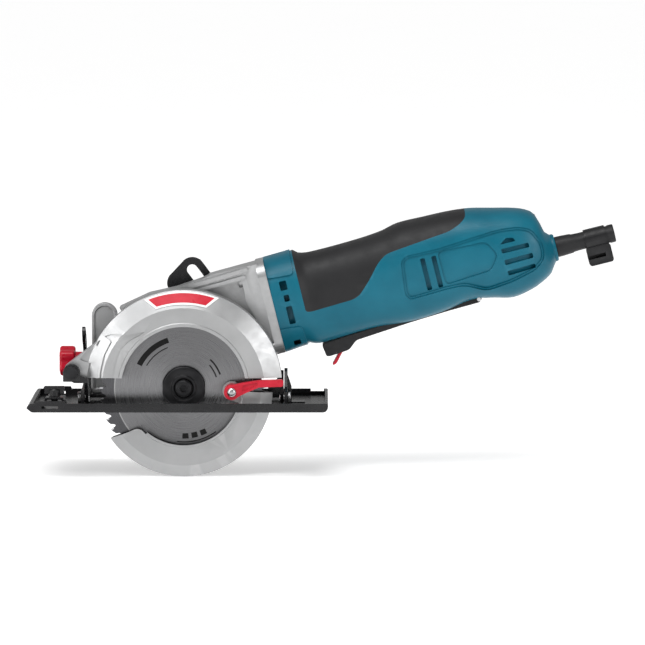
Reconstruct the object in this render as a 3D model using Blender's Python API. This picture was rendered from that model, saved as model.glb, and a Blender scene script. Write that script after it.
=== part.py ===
"""A compact inline circular saw with its sole plate, depth and bevel adjusters, guards, gear train and motor.

Lengths are in millimetres and become metres in the mesh builders. The origin is the centre of the sole's
underside: +Z is up, -X is the front of the saw and -Y is the blade side.
"""

import math

import bmesh
import bpy
from mathutils import Matrix, Vector

MM = 0.001
GAP = 0.3

# Sole plate
SOLE_LENGTH = 222.0
SOLE_WIDTH = 120.0
SOLE_THICK = 2.0
RIM_HEIGHT = 6.5

# Blade and spindle
HUB_X, HUB_Z = 4.2, 15.5
BLADE_RADIUS = 62.5
BLADE_TEETH = 48
BLADE_NEAR, BLADE_FAR = -28.8, -27.2
FLANGE_RADIUS = 16.3

# Guards
UPPER_RADIUS = 73.0
UPPER_WINDOW = 46.2
UPPER_NEAR, UPPER_FAR = -42.0, -17.8
UPPER_CUT = 23.6
LOWER_RADIUS = 66.0
LOWER_INNER = 42.3
LOWER_NEAR, LOWER_FAR = -35.5, -22.3

# What is cut off the swinging guard's front end to leave a round peak, from the hub
GUARD_TIP = (
    (-70.0, -43.0), (-53.8, -37.2), (-39.5, -32.0), (-36.4, -30.4), (-34.2, -30.0), (-31.6, -30.6),
    (-29.4, -32.4), (-27.8, -34.6), (-26.0, -30.0), (-26.0, 0.0), (-70.0, 0.0),
)

# Bevel hinge along X, and the stud that clamps it
BEVEL_Y, BEVEL_Z = -28.0, 8.0
STUD_RADIUS_FROM_HINGE = 50.0
STUD_ANGLE = 27.7
BEVEL_RANGE = 45.0

# Depth hinge along Y, and the slot that clamps it
DEPTH_X, DEPTH_Z = -78.1, 28.2
DEPTH_SLOT_RADIUS = 112.4
DEPTH_SLOT_TOP = 39.0
DEPTH_RANGE = 33.0

# Motor axis: its frame starts at the front of the motor housing and climbs to the rear
MOTOR_X, MOTOR_Y, MOTOR_Z = 71.2, 14.0, 74.0
MOTOR_TILT = 14.0

# Housing outline along the motor axis: (distance, top, bottom, half width, wall)
HOUSING = (
    (0.0, 35.3, -35.3, 31.0, 2.8),
    (19.0, 36.0, -33.8, 31.5, 2.8),
    (22.5, 36.4, -35.4, 31.0, 5.2),
    (26.0, 33.4, -36.4, 29.6, 5.2),
    (35.0, 31.9, -36.2, 28.6, 5.2),
    (70.0, 32.5, -34.6, 28.8, 5.2),
    (90.0, 34.2, -34.8, 29.8, 5.2),
    (103.0, 37.4, -34.9, 31.2, 5.2),
    (123.0, 37.3, -33.4, 32.0, 5.2),
    (143.0, 36.6, -31.4, 32.0, 5.2),
    (158.0, 35.1, -34.0, 31.4, 5.2),
    (174.5, 31.4, -37.6, 30.0, 2.8),
    (190.0, 27.0, -35.0, 27.6, 2.8),
    (200.0, 22.4, -30.6, 24.4, 2.8),
    (206.5, 14.6, -25.0, 19.0, 2.8),
    (212.0, 3.0, -19.4, 11.0, 2.8),
)
GRIP_EDGE = (
    (21.9, 60.0), (21.9, -8.8), (26.0, -9.8), (57.9, -8.6), (63.4, -6.8), (73.4, 2.7), (82.3, 13.1),
    (89.8, 18.3), (100.8, 19.6), (125.4, 22.1), (139.4, 23.4), (148.3, 26.6), (154.1, 30.6), (156.2, 60.0),
)

# Gear train, module 1 except the crown wheel and its pinion
CROWN_TEETH, PINION_TEETH = 36, 8
SPUR_TEETH, IDLER_TEETH, SPINDLE_TEETH = 12, 26, 18

# Spindle lock button
LOCK_X, LOCK_Z = -27.0, 58.0

TEAL = (0.012, 0.16, 0.235, 1.0)
RUBBER = (0.055, 0.057, 0.06, 1.0)
SILVER = (0.62, 0.63, 0.64, 1.0)
BLADE_GREY = (0.30, 0.30, 0.31, 1.0)
BLACK = (0.02, 0.02, 0.022, 1.0)
RED = (0.72, 0.02, 0.05, 1.0)
STEEL = (0.55, 0.55, 0.56, 1.0)
COPPER = (0.60, 0.27, 0.13, 1.0)
BRASS = (0.66, 0.50, 0.20, 1.0)


def clear_scene():
    for obj in list(bpy.data.objects):
        bpy.data.objects.remove(obj, do_unlink=True)


def finish(obj, colour, roughness, metallic):
    material = bpy.data.materials.new(obj.name + "_finish")
    material.use_nodes = True
    shader = material.node_tree.nodes["Principled BSDF"]
    shader.inputs["Base Color"].default_value = colour
    shader.inputs["Roughness"].default_value = roughness
    shader.inputs["Metallic"].default_value = metallic
    obj.data.materials.clear()
    obj.data.materials.append(material)
    return obj


def painted(obj, colour=BLACK):
    return finish(obj, colour, 0.45, 0.0)


def metal(obj, colour=STEEL, roughness=0.35):
    return finish(obj, colour, roughness, 1.0)


def mesh_object(name, mesh_bm, frame=None):
    """An object from a bmesh in millimetres, placed by a frame matrix in metres."""
    bmesh.ops.recalc_face_normals(mesh_bm, faces=mesh_bm.faces)
    bmesh.ops.scale(mesh_bm, vec=(MM, MM, MM), verts=mesh_bm.verts)
    mesh = bpy.data.meshes.new(name)
    mesh_bm.to_mesh(mesh)
    mesh_bm.free()
    mesh.shade_smooth()
    mesh.set_sharp_from_angle(angle=math.radians(35))
    obj = bpy.data.objects.new(name, mesh)
    bpy.context.scene.collection.objects.link(obj)
    if frame:
        obj.matrix_world = frame
    return obj


def place(x, y, z):
    """An axis frame at a point given in millimetres."""
    return Matrix.Translation(Vector((x, y, z)) * MM)


def axis_frame(x, y, z, turn=0.0, along="Y"):
    """A frame whose +Z runs along the named row axis through a point in millimetres."""
    turns = {
        "X": Matrix.Rotation(math.pi / 2, 4, "Y"),
        "Y": Matrix.Rotation(-math.pi / 2, 4, "X"),
        "Z": Matrix.Identity(4),
    }
    return place(x, y, z) @ turns[along] @ Matrix.Rotation(math.radians(turn), 4, "Z")


def motor_frame():
    return place(MOTOR_X, MOTOR_Y, MOTOR_Z) @ Matrix.Rotation(math.radians(-MOTOR_TILT), 4, "Y")


def motor_point(u, v):
    """Row X and Z of a point u along the motor axis and v above it."""
    tilt = math.radians(MOTOR_TILT)
    x = MOTOR_X + u * math.cos(tilt) - v * math.sin(tilt)
    z = MOTOR_Z + u * math.sin(tilt) + v * math.cos(tilt)
    return x, z


def arc(centre_a, centre_b, radius, start, end, steps):
    """Points of an arc between two angles in degrees, both ends included."""
    points = []
    for i in range(steps + 1):
        angle = math.radians(start + (end - start) * i / steps)
        points.append((centre_a + radius * math.cos(angle), centre_b + radius * math.sin(angle)))
    return points


def prism(name, outline, low, high, plane="XZ", frame=None):
    """An outline extruded between two heights: in the XZ plane along Y, YZ along X, or XY along Z."""
    places = {
        "XZ": lambda a, b, h: (a, h, b),
        "YZ": lambda a, b, h: (h, a, b),
        "XY": lambda a, b, h: (a, b, h),
    }
    put = places[plane]
    bm = bmesh.new()
    bottom = [bm.verts.new(put(a, b, low)) for a, b in outline]
    top = [bm.verts.new(put(a, b, high)) for a, b in outline]
    bm.faces.new(bottom)
    bm.faces.new(list(reversed(top)))
    for i in range(len(outline)):
        j = (i + 1) % len(outline)
        bm.faces.new((bottom[i], bottom[j], top[j], top[i]))
    return mesh_object(name, bm, frame)


def box(name, low, high, frame=None):
    outline = [(low[0], low[1]), (high[0], low[1]), (high[0], high[1]), (low[0], high[1])]
    return prism(name, outline, low[2], high[2], "XY", frame)


def turned(name, profile, frame, steps=32, start=0.0):
    """A closed solid of revolution about the frame's Z, from (radius, height) points."""
    bm = bmesh.new()
    rings = []
    for radius, height in profile:
        if radius == 0.0:
            rings.append([bm.verts.new((0.0, 0.0, height))])
            continue
        ring = []
        for i in range(steps):
            angle = math.radians(start) + 2 * math.pi * i / steps
            ring.append(bm.verts.new((radius * math.cos(angle), radius * math.sin(angle), height)))
        rings.append(ring)
    for k in range(len(rings)):
        first, second = rings[k], rings[(k + 1) % len(rings)]
        if len(first) == 1 and len(second) == 1:
            continue
        for i in range(steps):
            j = (i + 1) % steps
            corners = [first[k % len(first)] for k in (i, j)] + [second[k % len(second)] for k in (j, i)]
            bm.faces.new(list(dict.fromkeys(corners)))
    return mesh_object(name, bm, frame)


def loft(name, sections, frame=None):
    """A closed solid through rings of equal point counts, capped at both ends."""
    bm = bmesh.new()
    rings = [[bm.verts.new(point) for point in section] for section in sections]
    bm.faces.new(rings[0])
    bm.faces.new(list(reversed(rings[-1])))
    for first, second in zip(rings, rings[1:]):
        for i in range(len(first)):
            j = (i + 1) % len(first)
            bm.faces.new((first[i], first[j], second[j], second[i]))
    return mesh_object(name, bm, frame)


def coil(name, radius, wire, turns, low, high, frame, sides=6, steps=16):
    """A helical spring about the frame's Z."""
    sections = []
    count = int(turns * steps)
    for i in range(count + 1):
        angle = 2 * math.pi * i / steps
        height = low + (high - low) * i / count
        ring = []
        for k in range(sides):
            around = 2 * math.pi * k / sides
            reach = radius + wire * math.cos(around)
            ring.append((reach * math.cos(angle), reach * math.sin(angle), height + wire * math.sin(around)))
        sections.append(ring)
    return loft(name, sections, frame)


def helper(obj):
    """Hides a cutter or a joined shape, which only feeds a modifier."""
    obj.hide_render = True
    obj.display_type = "WIRE"
    return obj


def combine(target, operation, others):
    for other in others:
        helper(other)
        modifier = target.modifiers.new(other.name, "BOOLEAN")
        modifier.operation = operation
        modifier.solver = "EXACT"
        modifier.object = other
    return target


def cut(target, *cutters):
    return combine(target, "DIFFERENCE", cutters)


def join(target, *others):
    return combine(target, "UNION", others)


def keep_inside(target, *others):
    return combine(target, "INTERSECT", others)


def rod(name, x, y, z, radius, low, high, along="Y", steps=14):
    """A round bar along a row axis: low and high are offsets from the point along it."""
    profile = [(0.0, high), (radius, high), (radius, low), (0.0, low)]
    return turned(name, profile, axis_frame(x, y, z, 0.0, along), steps)


def ring(name, frame, inner, outer, low, high, steps=20):
    return turned(name, [(inner, low), (outer, low), (outer, high), (inner, high)], frame, steps)


def gear_outline(teeth, tip, root, share=0.40):
    """An outline of straight-sided teeth; share is the tooth's part of the pitch on the pitch circle."""
    points = []
    step = 2 * math.pi / teeth
    for i in range(teeth):
        middle = i * step
        root_half, tip_half = step * share * 0.62, step * share * 0.28
        points += [(root, middle - root_half), (tip, middle - tip_half)]
        points += [(tip, middle + tip_half), (root, middle + root_half)]
    return [(radius * math.cos(angle), radius * math.sin(angle)) for radius, angle in points]


def base_plate():
    """The stamped sole: floor, folded rims, blade opening and fence slots."""
    half, side = SOLE_LENGTH / 2, SOLE_WIDTH / 2
    profile = [(-half + 4, 0.0), (half - 4, 0.0)]
    profile += arc(half - 4, 4.0, 4.0, -60, 0, 3)
    profile += [(half, RIM_HEIGHT), (-half + 2.5, RIM_HEIGHT), (-half, 3.2)]
    plate = prism("base_plate", profile, -side, side)
    tray = [(-half + 5, SOLE_THICK), (half - 2.2, SOLE_THICK), (half - 2.2, 12.0), (-half + 5, 12.0)]
    tray_cut = prism("base_tray", tray, -side + 2.0, side - 2.0)
    opening = [(-64, -40), (34, -40), (34, -52), (81, -52), (81, -41), (69.5, -41), (69.5, -8), (-64, -8)]
    opening_cut = prism("base_opening", opening, -2.0, 12.0, "XY")
    window = box("base_rear_window", (20, 27, -2), (66, 46, 12))
    fence = box("base_fence_slot", (-99.7, -side - 4, 2.6), (-87.5, side + 4, 4.6))
    front_light = box("base_rim_step", (98, side - 2.4, 4.6), (108, side + 4, 12))
    cut(plate, tray_cut, opening_cut, window, fence, front_light)
    return painted(plate)


def quadrant_outline():
    """The front bevel sector in Y and Z, with a round end and a foot on the sole."""
    reach = 3.8
    top = STUD_ANGLE + BEVEL_RANGE
    end_y = BEVEL_Y + STUD_RADIUS_FROM_HINGE * math.cos(math.radians(top))
    end_z = BEVEL_Z + STUD_RADIUS_FROM_HINGE * math.sin(math.radians(top))
    outline = [(-38.0, SOLE_THICK + GAP), (26.5, SOLE_THICK + GAP)]
    outline += arc(BEVEL_Y, BEVEL_Z, STUD_RADIUS_FROM_HINGE + reach, 2, top - 2, 12)
    outline += arc(end_y, end_z, reach, top + 2, top + 178, 6)
    outline += arc(BEVEL_Y, BEVEL_Z, STUD_RADIUS_FROM_HINGE - reach - 2, top - 4, 12, 10)
    outline += [(-20.0, 14.5), (-36.0, 14.5), (-38.0, 12.0)]
    return outline


def slot_outline(centre_a, centre_b, radius, half_width, start, end, steps=12):
    """An arc-shaped slot with round ends."""
    outline = arc(centre_a, centre_b, radius + half_width, start, end, steps)
    near, far = arc(centre_a, centre_b, radius, start, end, 1)
    outline += arc(*far, half_width, end + 20, end + 160, 5)
    outline += arc(centre_a, centre_b, radius - half_width, end, start, steps)
    outline += arc(*near, half_width, start + 200, start + 340, 5)
    return outline


def bevel_quadrant():
    plate = prism("bevel_quadrant", quadrant_outline(), -71.6, -69.2, "YZ")
    slot = slot_outline(
        BEVEL_Y, BEVEL_Z, STUD_RADIUS_FROM_HINGE, 2.6, STUD_ANGLE - 1.5, STUD_ANGLE + BEVEL_RANGE + 0.6
    )
    slot_cut = prism("quadrant_slot", slot, -80, -60, "YZ")
    pin_hole = rod("quadrant_hole", -70, BEVEL_Y, BEVEL_Z, 3.3, -10, 10, "X")
    return painted(cut(plate, slot_cut, pin_hole))


def rear_bevel_bracket():
    outline = [(-38, SOLE_THICK + GAP), (-8, SOLE_THICK + GAP), (-8, 20), (-11, 27), (-16, 29), (-22, 27)]
    outline += [(-30, 16), (-38, 13)]
    plate = prism("rear_bevel_bracket", outline, 78.6, 81.0, "YZ")
    foot = box("rear_bracket_foot", (78.6, -22, SOLE_THICK + GAP), (94, -8, SOLE_THICK + GAP + 2))
    pin_hole = rod("rear_bracket_hole", 80, BEVEL_Y, BEVEL_Z, 3.3, -10, 10, "X")
    return painted(cut(join(plate, foot), pin_hole))


def bevel_pin(name, low, high, head_low, head_high):
    """A riveted hinge pin along X with a flat head at one end."""
    pin = rod(name, 0, BEVEL_Y, BEVEL_Z, 3.0, low, high, "X", 12)
    head = rod(name + "_head", 0, BEVEL_Y, BEVEL_Z, 4.6, head_low, head_high, "X", 12)
    return metal(join(pin, head))


def fence_clamp():
    """The pressed bridge over the fence slot, and its wing screw."""
    floor = SOLE_THICK + GAP
    outer = [(-101, floor), (-97.5, floor + 7.5), (-84.5, floor + 7.5), (-81, floor)]
    inner = [(-99.2, floor - 1), (-83, floor - 1), (-85.8, floor + 5.9), (-96.2, floor + 5.9)]
    bridge = prism("fence_clamp_bridge", outer, -47, -33)
    inner_cut = prism("bridge_inside", inner, -60, -20)
    screw_hole = rod("bridge_hole", -91, -40, 0, 2.8, 0, 30, "Z")
    painted(cut(bridge, inner_cut, screw_hole))
    top = floor + 7.5
    screw = turned(
        "fence_wing_screw",
        [
            (0, top + 6), (3.6, top + 6), (4.4, top + 5), (4.4, top + GAP), (2.4, top + GAP), (2.4, 5.0),
            (0, 5.0),
        ],
        axis_frame(-91, -40, 0, 0, "Z"),
        16,
    )
    wings = box("wing_screw_wings", (-98.2, -41.4, top + 2.2), (-83.8, -38.6, top + 8.0))
    painted(join(screw, wings))


def tilt_frame():
    """The rocking frame: front cross plate with the depth ear, side strip and rear plate."""
    stud_y, stud_z = stud_place()
    front = [(-30, 4.4), (25.5, 4), (25.5, 14)]
    front += arc(stud_y, stud_z, 7.5, 0, 180, 8)
    front += [(2, 14), (-20, 14), (-36, 22.6), (-41.6, 22.6), (-41.6, 24), (-46.5, 24), (-46.5, 20.4)]
    frame = prism("tilt_frame", front, -68.6, -66.2, "YZ")
    ear = [(-66.2, 20.4), (-66.2, 23.6), (-70.6, 25.6)]
    ear += arc(DEPTH_X, DEPTH_Z, 6.3, -20, 230, 14)
    ear += [(-76.0, 20.4)]
    ear_plate = prism("frame_ear", ear, -46.5, -42.6)
    strip = box("frame_strip", (-67.4, 14, 4), (77.0, 26, 6.6))
    rear_outline = [(-30, 4.4), (26, 4), (26, 12), (-6, 16), (-8, 24), (-11, 27), (-15, 27), (-16.6, 17)]
    rear_outline += [(-36, 17), (-37, 11.6)]
    rear = prism("frame_rear", rear_outline, 75.6, 78.0, "YZ")
    join(frame, ear_plate, strip, rear)
    pin_front = rod("frame_front_hole", -67, BEVEL_Y, BEVEL_Z, 3.3, -5, 5, "X")
    pin_rear = rod("frame_rear_hole", 77, BEVEL_Y, BEVEL_Z, 3.3, -5, 5, "X")
    stud_hole = rod("frame_stud_hole", -67, stud_y, stud_z, 2.5, -5, 5, "X")
    pivot_hole = rod("frame_pivot_hole", DEPTH_X, -44, DEPTH_Z, 3.3, -6, 6)
    return painted(cut(frame, pin_front, pin_rear, stud_hole, pivot_hole))


def stud_place():
    angle = math.radians(STUD_ANGLE)
    return (
        BEVEL_Y + STUD_RADIUS_FROM_HINGE * math.cos(angle),
        BEVEL_Z + STUD_RADIUS_FROM_HINGE * math.sin(angle),
    )


def bevel_clamp():
    """The carriage stud through the quadrant and the lobed knob that tightens it."""
    stud_y, stud_z = stud_place()
    stud = rod("bevel_stud", 0, stud_y, stud_z, 2.2, -86.0, -65.8, "X", 12)
    head = rod("bevel_stud_head", 0, stud_y, stud_z, 4.2, -65.9, -63.4, "X", 6)
    metal(join(stud, head))
    lobes = []
    for i in range(30):
        angle = 2 * math.pi * i / 30
        radius = 10.4 + 1.2 * math.cos(5 * angle)
        lobes.append((stud_y + radius * math.cos(angle), stud_z + radius * math.sin(angle)))
    knob = prism("bevel_knob", lobes, -89.6, -78.0, "YZ")
    neck = rod("knob_neck", 0, stud_y, stud_z, 7.0, -79.0, -72.2, "X", 24)
    bore = rod("knob_bore", 0, stud_y, stud_z, 2.5, -87.0, -70.0, "X", 12)
    return painted(cut(join(knob, neck), bore), RED)


def guide_cheek():
    """The cast cheek on the tilt frame that steadies the guard from behind."""
    outline = [(-65.9, 6.9), (-46.6, 6.9), (-46.6, 64.8)]
    outline += arc(-56.3, 64.8, 9.7, 0, 180, 10)
    cheek = prism("guide_cheek", outline, 21.0, 29.6)
    face = [(-63.6, 10), (-48.9, 10), (-48.9, 64.6)] + arc(-56.3, 64.6, 7.4, 0, 180, 8)
    recess = prism("cheek_recess", face, 16.0, 22.6)
    back = prism("cheek_back", face, 25.0, 34.0)
    return metal(cut(cheek, recess, back), SILVER, 0.5)


def depth_guide():
    """The slotted sector on the far side that the depth bolt slides in."""
    low, top = -11.0, DEPTH_SLOT_TOP
    outline = arc(DEPTH_X, DEPTH_Z, DEPTH_SLOT_RADIUS + 9.5, low, top + 1, 16)
    end = (
        DEPTH_X + DEPTH_SLOT_RADIUS * math.cos(math.radians(top)),
        DEPTH_Z + DEPTH_SLOT_RADIUS * math.sin(math.radians(top)),
    )
    outline += arc(*end, 9.5, top + 20, 143.5, 5)
    lobe_x, lobe_z = -0.2, 88.9
    outline += arc(lobe_x, lobe_z, 9.5, 143.5, 215, 5)
    outline += [(4.0, 74.0), (14.0, 60.0)]
    outline += arc(DEPTH_X, DEPTH_Z, DEPTH_SLOT_RADIUS - 8.0, 14, low, 8)
    plate = prism("depth_guide", outline, 28.0, 30.4)
    slot = slot_outline(
        DEPTH_X, DEPTH_Z, DEPTH_SLOT_RADIUS, 4.0, DEPTH_SLOT_TOP - DEPTH_RANGE - 2.4, DEPTH_SLOT_TOP
    )
    slot_cut = prism("depth_slot", slot, 20, 40)
    foot = box("depth_foot", (20.0, 18.0, 6.9), (44.0, 30.4, 9.3))
    under = box("depth_trim", (0, 10, -30), (60, 40, 6.9))
    return painted(cut(join(plate, foot), slot_cut, under))


def depth_bolt_place():
    angle = math.radians(DEPTH_SLOT_TOP - DEPTH_RANGE - 0.8)
    return (
        DEPTH_X + DEPTH_SLOT_RADIUS * math.cos(angle),
        DEPTH_Z + DEPTH_SLOT_RADIUS * math.sin(angle),
    )


def depth_pivot_pin():
    pin = rod("depth_pivot_pin", DEPTH_X, 0, DEPTH_Z, 3.0, -47.0, -22.0, "Y", 12)
    head = rod("pivot_head", DEPTH_X, 0, DEPTH_Z, 4.8, -48.8, -46.8, "Y", 12)
    return metal(join(pin, head), BLACK, 0.4)


def depth_lock():
    """The bolt from the gear case through the slot, and the lever that tightens it."""
    x, z = depth_bolt_place()
    bolt = rod("depth_lock_bolt", x, 0, z, 3.0, 27.0, 37.0, "Y", 12)
    shoulder = rod("bolt_shoulder", x, 0, z, 6.5, 26.2, 27.7, "Y", 12)
    metal(join(bolt, shoulder))
    lever = rod("depth_lock_lever", x, 0, z, 7.0, 30.8, 40.0, "Y", 18)
    outline = [(x - 3, z + 4), (x + 3, z + 4), (x + 5, z + 34), (x - 1, z + 36), (x - 5, z + 33)]
    arm = prism("lever_arm", outline, 35.0, 40.0)
    bore = rod("lever_bore", x, 0, z, 3.3, 30, 38, "Y", 12)
    return painted(cut(join(lever, arm), bore), RED)


def arc_sweep(name, profile, start, end, steps):
    """A (radius, Y) profile swept about the spindle axis between two angles in degrees."""
    sections = []
    for i in range(steps + 1):
        angle = math.radians(start + (end - start) * i / steps)
        sections.append([(HUB_X + r * math.cos(angle), y, HUB_Z + r * math.sin(angle)) for r, y in profile])
    return loft(name, sections)


def upper_guard():
    """The cast fixed guard: a stepped half ring with a window, a back wall and the front pivot arm."""
    profile = [
        (UPPER_WINDOW, UPPER_NEAR - 0.6),
        (UPPER_WINDOW + 1.8, UPPER_NEAR - 0.6),
        (UPPER_WINDOW + 2.2, UPPER_NEAR),
        (60.0, UPPER_NEAR),
        (UPPER_RADIUS, UPPER_NEAR + 6.0),
        (UPPER_RADIUS, UPPER_FAR),
        (22.0, UPPER_FAR),
        (22.0, UPPER_FAR - 2.0),
        (UPPER_RADIUS - 2.2, UPPER_FAR - 2.0),
        (UPPER_RADIUS - 2.2, UPPER_NEAR + 6.6),
        (59.6, UPPER_NEAR + 2.2),
        (UPPER_WINDOW, UPPER_NEAR + 2.2),
    ]
    guard = arc_sweep("upper_guard", profile, 0, 180, 28)
    arm = arc(HUB_X, HUB_Z, 71.9, 173.0, 150.0, 4)
    arm += arc(DEPTH_X, DEPTH_Z, 6.3, 125, 300, 8)
    arm_block = prism("guard_arm", arm, -41.0, -22.0)
    below = box("guard_trim", (-71.2, -60, -80), (100, 0, UPPER_CUT))
    pivot_hole = rod("guard_pivot_hole", DEPTH_X, -30, DEPTH_Z, 3.3, -20, 20, "Y", 12)
    cut(join(guard, arm_block), below, pivot_hole)
    return metal(guard, SILVER, 0.5)


def guard_label():
    """The plain rating label that follows the guard's chamfer."""
    normal_r, normal_y = 0.419, -0.908
    profile = []
    for radius, lift in ((62.4, GAP), (71.4, GAP), (71.4, 0.8), (62.4, 0.8)):
        y = UPPER_NEAR + (radius - 60.0) * 6.0 / 13.0
        profile.append((radius + normal_r * lift, y + normal_y * lift))
    return painted(arc_sweep("guard_label", profile, 70, 110, 12), RED)


def lower_guard():
    """The swinging guard: a crescent channel on a hub ring, with an ear for its lever."""
    profile = [
        (LOWER_INNER, LOWER_NEAR),
        (58.5, LOWER_NEAR),
        (LOWER_RADIUS, LOWER_NEAR + 3.0),
        (LOWER_RADIUS, LOWER_FAR),
        (LOWER_INNER, LOWER_FAR),
        (LOWER_INNER, LOWER_FAR - 1.3),
        (LOWER_RADIUS - 1.4, LOWER_FAR - 1.3),
        (LOWER_RADIUS - 1.4, LOWER_NEAR + 3.6),
        (58.2, LOWER_NEAR + 1.5),
        (LOWER_INNER, LOWER_NEAR + 1.5),
    ]
    guard = arc_sweep("lower_guard", profile, -145.0, -3.0, 20)
    hub_frame = axis_frame(HUB_X, 0, HUB_Z)
    hub = ring("guard_hub", hub_frame, 15.2, 21.0, LOWER_FAR - 1.3, LOWER_FAR, 22)
    web_profile = [(20.0, LOWER_FAR), (44.0, LOWER_FAR), (44.0, LOWER_FAR - 1.3), (20.0, LOWER_FAR - 1.3)]
    web = arc_sweep("guard_web", web_profile, -110, -8, 8)
    lever_x, lever_z = lever_place()
    ear = [(lever_x + 14, lever_z - 12), (lever_x + 14, lever_z - 1.5), (lever_x + 2, lever_z + 7)]
    ear += arc(lever_x, lever_z, 7.0, 90, 235, 8)
    ear_plate = prism("guard_ear", ear, LOWER_NEAR, LOWER_NEAR + 1.5)
    hole = rod("ear_hole", lever_x, LOWER_NEAR, lever_z, 1.9, -8, 8)
    tip = [(HUB_X + a, HUB_Z + b) for a, b in GUARD_TIP]
    tip_cut = prism("guard_tip_cut", tip, LOWER_NEAR - 4, LOWER_FAR + 4)
    join(guard, hub, web, ear_plate)
    return metal(cut(guard, hole, tip_cut), SILVER, 0.45)


def lever_place():
    return 39.9, 13.7


def guard_lever():
    """The red lift lever, with its boss on the lower guard's ear, and the screw that holds it."""
    x, z = lever_place()
    boss = rod("guard_lever", x, 0, z, 5.6, -47.5, LOWER_NEAR - GAP, "Y", 18)
    arm = [(x + 1, z - 5.0), (x + 9, z - 1.2), (x + 20, z + 3.6), (77.0, 17.8), (78.0, 19.0), (78.0, 22.0)]
    arm += [(77.0, 23.1), (x + 20, 22.6), (x + 8, 20.8), (x, z + 5.4)]
    arm_plate = prism("lever_arm_plate", arm, -47.5, -43.2)
    corners = [(x + 2, z - 5), (x + 19, z + 4.2), (x + 19, 22.0), (x + 2, 18.0)]
    gusset = prism("lever_gusset", corners, -47.5, -44.9)
    bore = rod("lever_screw_bore", x, 0, z, 1.9, -60, -20, "Y", 12)
    painted(cut(join(boss, arm_plate, gusset), bore), RED)
    screw = rod("guard_lever_screw", x, 0, z, 1.6, -48.0, -33.0, "Y", 12)
    dome = [(0, -47.8), (3.2, -47.8), (3.2, -48.2), (2.0, -49.2), (0, -49.4)]
    head = turned("screw_dome", dome, axis_frame(x, 0, z), 16)
    return metal(join(screw, head))


def guard_return_spring():
    return metal(coil("guard_return_spring", 17.6, 0.55, 2, -21.4, -18.6, axis_frame(HUB_X, 0, HUB_Z), 6, 18))


def blade():
    """A toothed disc with a gullet before each tooth."""
    outline = []
    pitch = 2 * math.pi / BLADE_TEETH
    root = BLADE_RADIUS - 4.6
    for i in range(BLADE_TEETH):
        start = i * pitch
        for radius, share in ((BLADE_RADIUS, 0.0), (BLADE_RADIUS - 1.4, 0.30), (root, 0.84)):
            angle = start + share * pitch
            outline.append((HUB_X + radius * math.cos(angle), HUB_Z + radius * math.sin(angle)))
    disc = prism("blade", outline, BLADE_NEAR, BLADE_FAR)
    bore = rod("blade_bore", HUB_X, 0, HUB_Z, 5.0, -40, -20, "Y", 18)
    return metal(cut(disc, bore), BLADE_GREY, 0.3)


def spindle_stack():
    """Spindle, clamping flanges and the bolt that holds the blade."""
    frame = axis_frame(HUB_X, 0, HUB_Z)
    profile = [
        (0.0, 9.0), (4.0, 9.0), (4.0, 3.0), (5.6, 3.0), (5.6, -9.5), (5.0, -9.5), (5.0, -16.6), (7.0, -16.6),
        (7.0, -24.4), (4.6, -24.4), (4.6, -31.4), (3.0, -31.4), (3.0, -18.0), (0.0, -18.0),
    ]
    metal(turned("spindle", profile, frame, 16))
    metal(ring("inner_flange", frame, 4.9, 14.0, -26.9, -24.8, 20), BLACK, 0.4)
    outer = turned(
        "outer_flange",
        [
            (4.9, -31.8), (6.9, -31.8), (7.2, -33.0), (8.6, -33.0), (9.4, -32.0), (14.6, -32.0),
            (FLANGE_RADIUS, -31.0), (FLANGE_RADIUS, -29.1), (4.9, -29.1),
        ],
        frame,
        28,
    )
    flats = [
        box(f"flange_flat_{side}", (HUB_X + low, -40, HUB_Z - 6), (HUB_X + high, -20, HUB_Z + 6))
        for side, low, high in (("front", -20, -15.6), ("rear", 15.6, 20))
    ]
    metal(cut(outer, *flats), BLACK, 0.4)
    bolt = turned(
        "blade_bolt",
        [(0, -16.6 - 2), (2.7, -18.6), (2.7, -32.1), (6.2, -32.1), (6.2, -36.6), (5.4, -37.2), (0, -37.2)],
        frame,
        20,
    )
    socket = prism("bolt_socket", arc(HUB_X, HUB_Z, 3.0, 0, 300, 5), -40, -34.0)
    return metal(cut(bolt, socket), BLACK, 0.35)


def toothed(name, x, z, teeth, tip, root, low, high, phase, bore, share=0.40):
    """A spur gear about a row Y axis; phase is the angle of one tooth in degrees."""
    turn = math.radians(phase)
    c, s = math.cos(turn), math.sin(turn)
    outline = [(x + a * c - b * s, z + a * s + b * c) for a, b in gear_outline(teeth, tip, root, share)]
    gear = prism(name, outline, low, high)
    return cut(gear, rod(name + "_bore", x, 0, z, bore, low - 5, high + 5, "Y", 12))


def gear_places():
    """Centres of the intermediate shaft and of the idler that meshes with it and with the spindle gear."""
    top_x, top_z = motor_point(-79.1, 0.0)
    first = (SPUR_TEETH + IDLER_TEETH) / 2
    second = (IDLER_TEETH + SPINDLE_TEETH) / 2
    span = math.hypot(HUB_X - top_x, HUB_Z - top_z)
    along = (first**2 - second**2 + span**2) / (2 * span)
    aside = math.sqrt(first**2 - along**2)
    dx, dz = (HUB_X - top_x) / span, (HUB_Z - top_z) / span
    return (top_x, top_z), (top_x + along * dx - aside * dz, top_z + along * dz + aside * dx)


def meshing_phases():
    """Tooth angles that put the three spur gears in mesh at rest."""
    top, idler = gear_places()
    first = math.degrees(math.atan2(idler[1] - top[1], idler[0] - top[0]))
    second = math.degrees(math.atan2(HUB_Z - idler[1], HUB_X - idler[0]))
    idler_phase = first + 180 + 180 / IDLER_TEETH
    pitch = 360 / IDLER_TEETH
    offset = (idler_phase - second) % pitch
    spindle_phase = second + 180 - offset * IDLER_TEETH / SPINDLE_TEETH + 180 / SPINDLE_TEETH
    return first, idler_phase, spindle_phase


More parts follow.
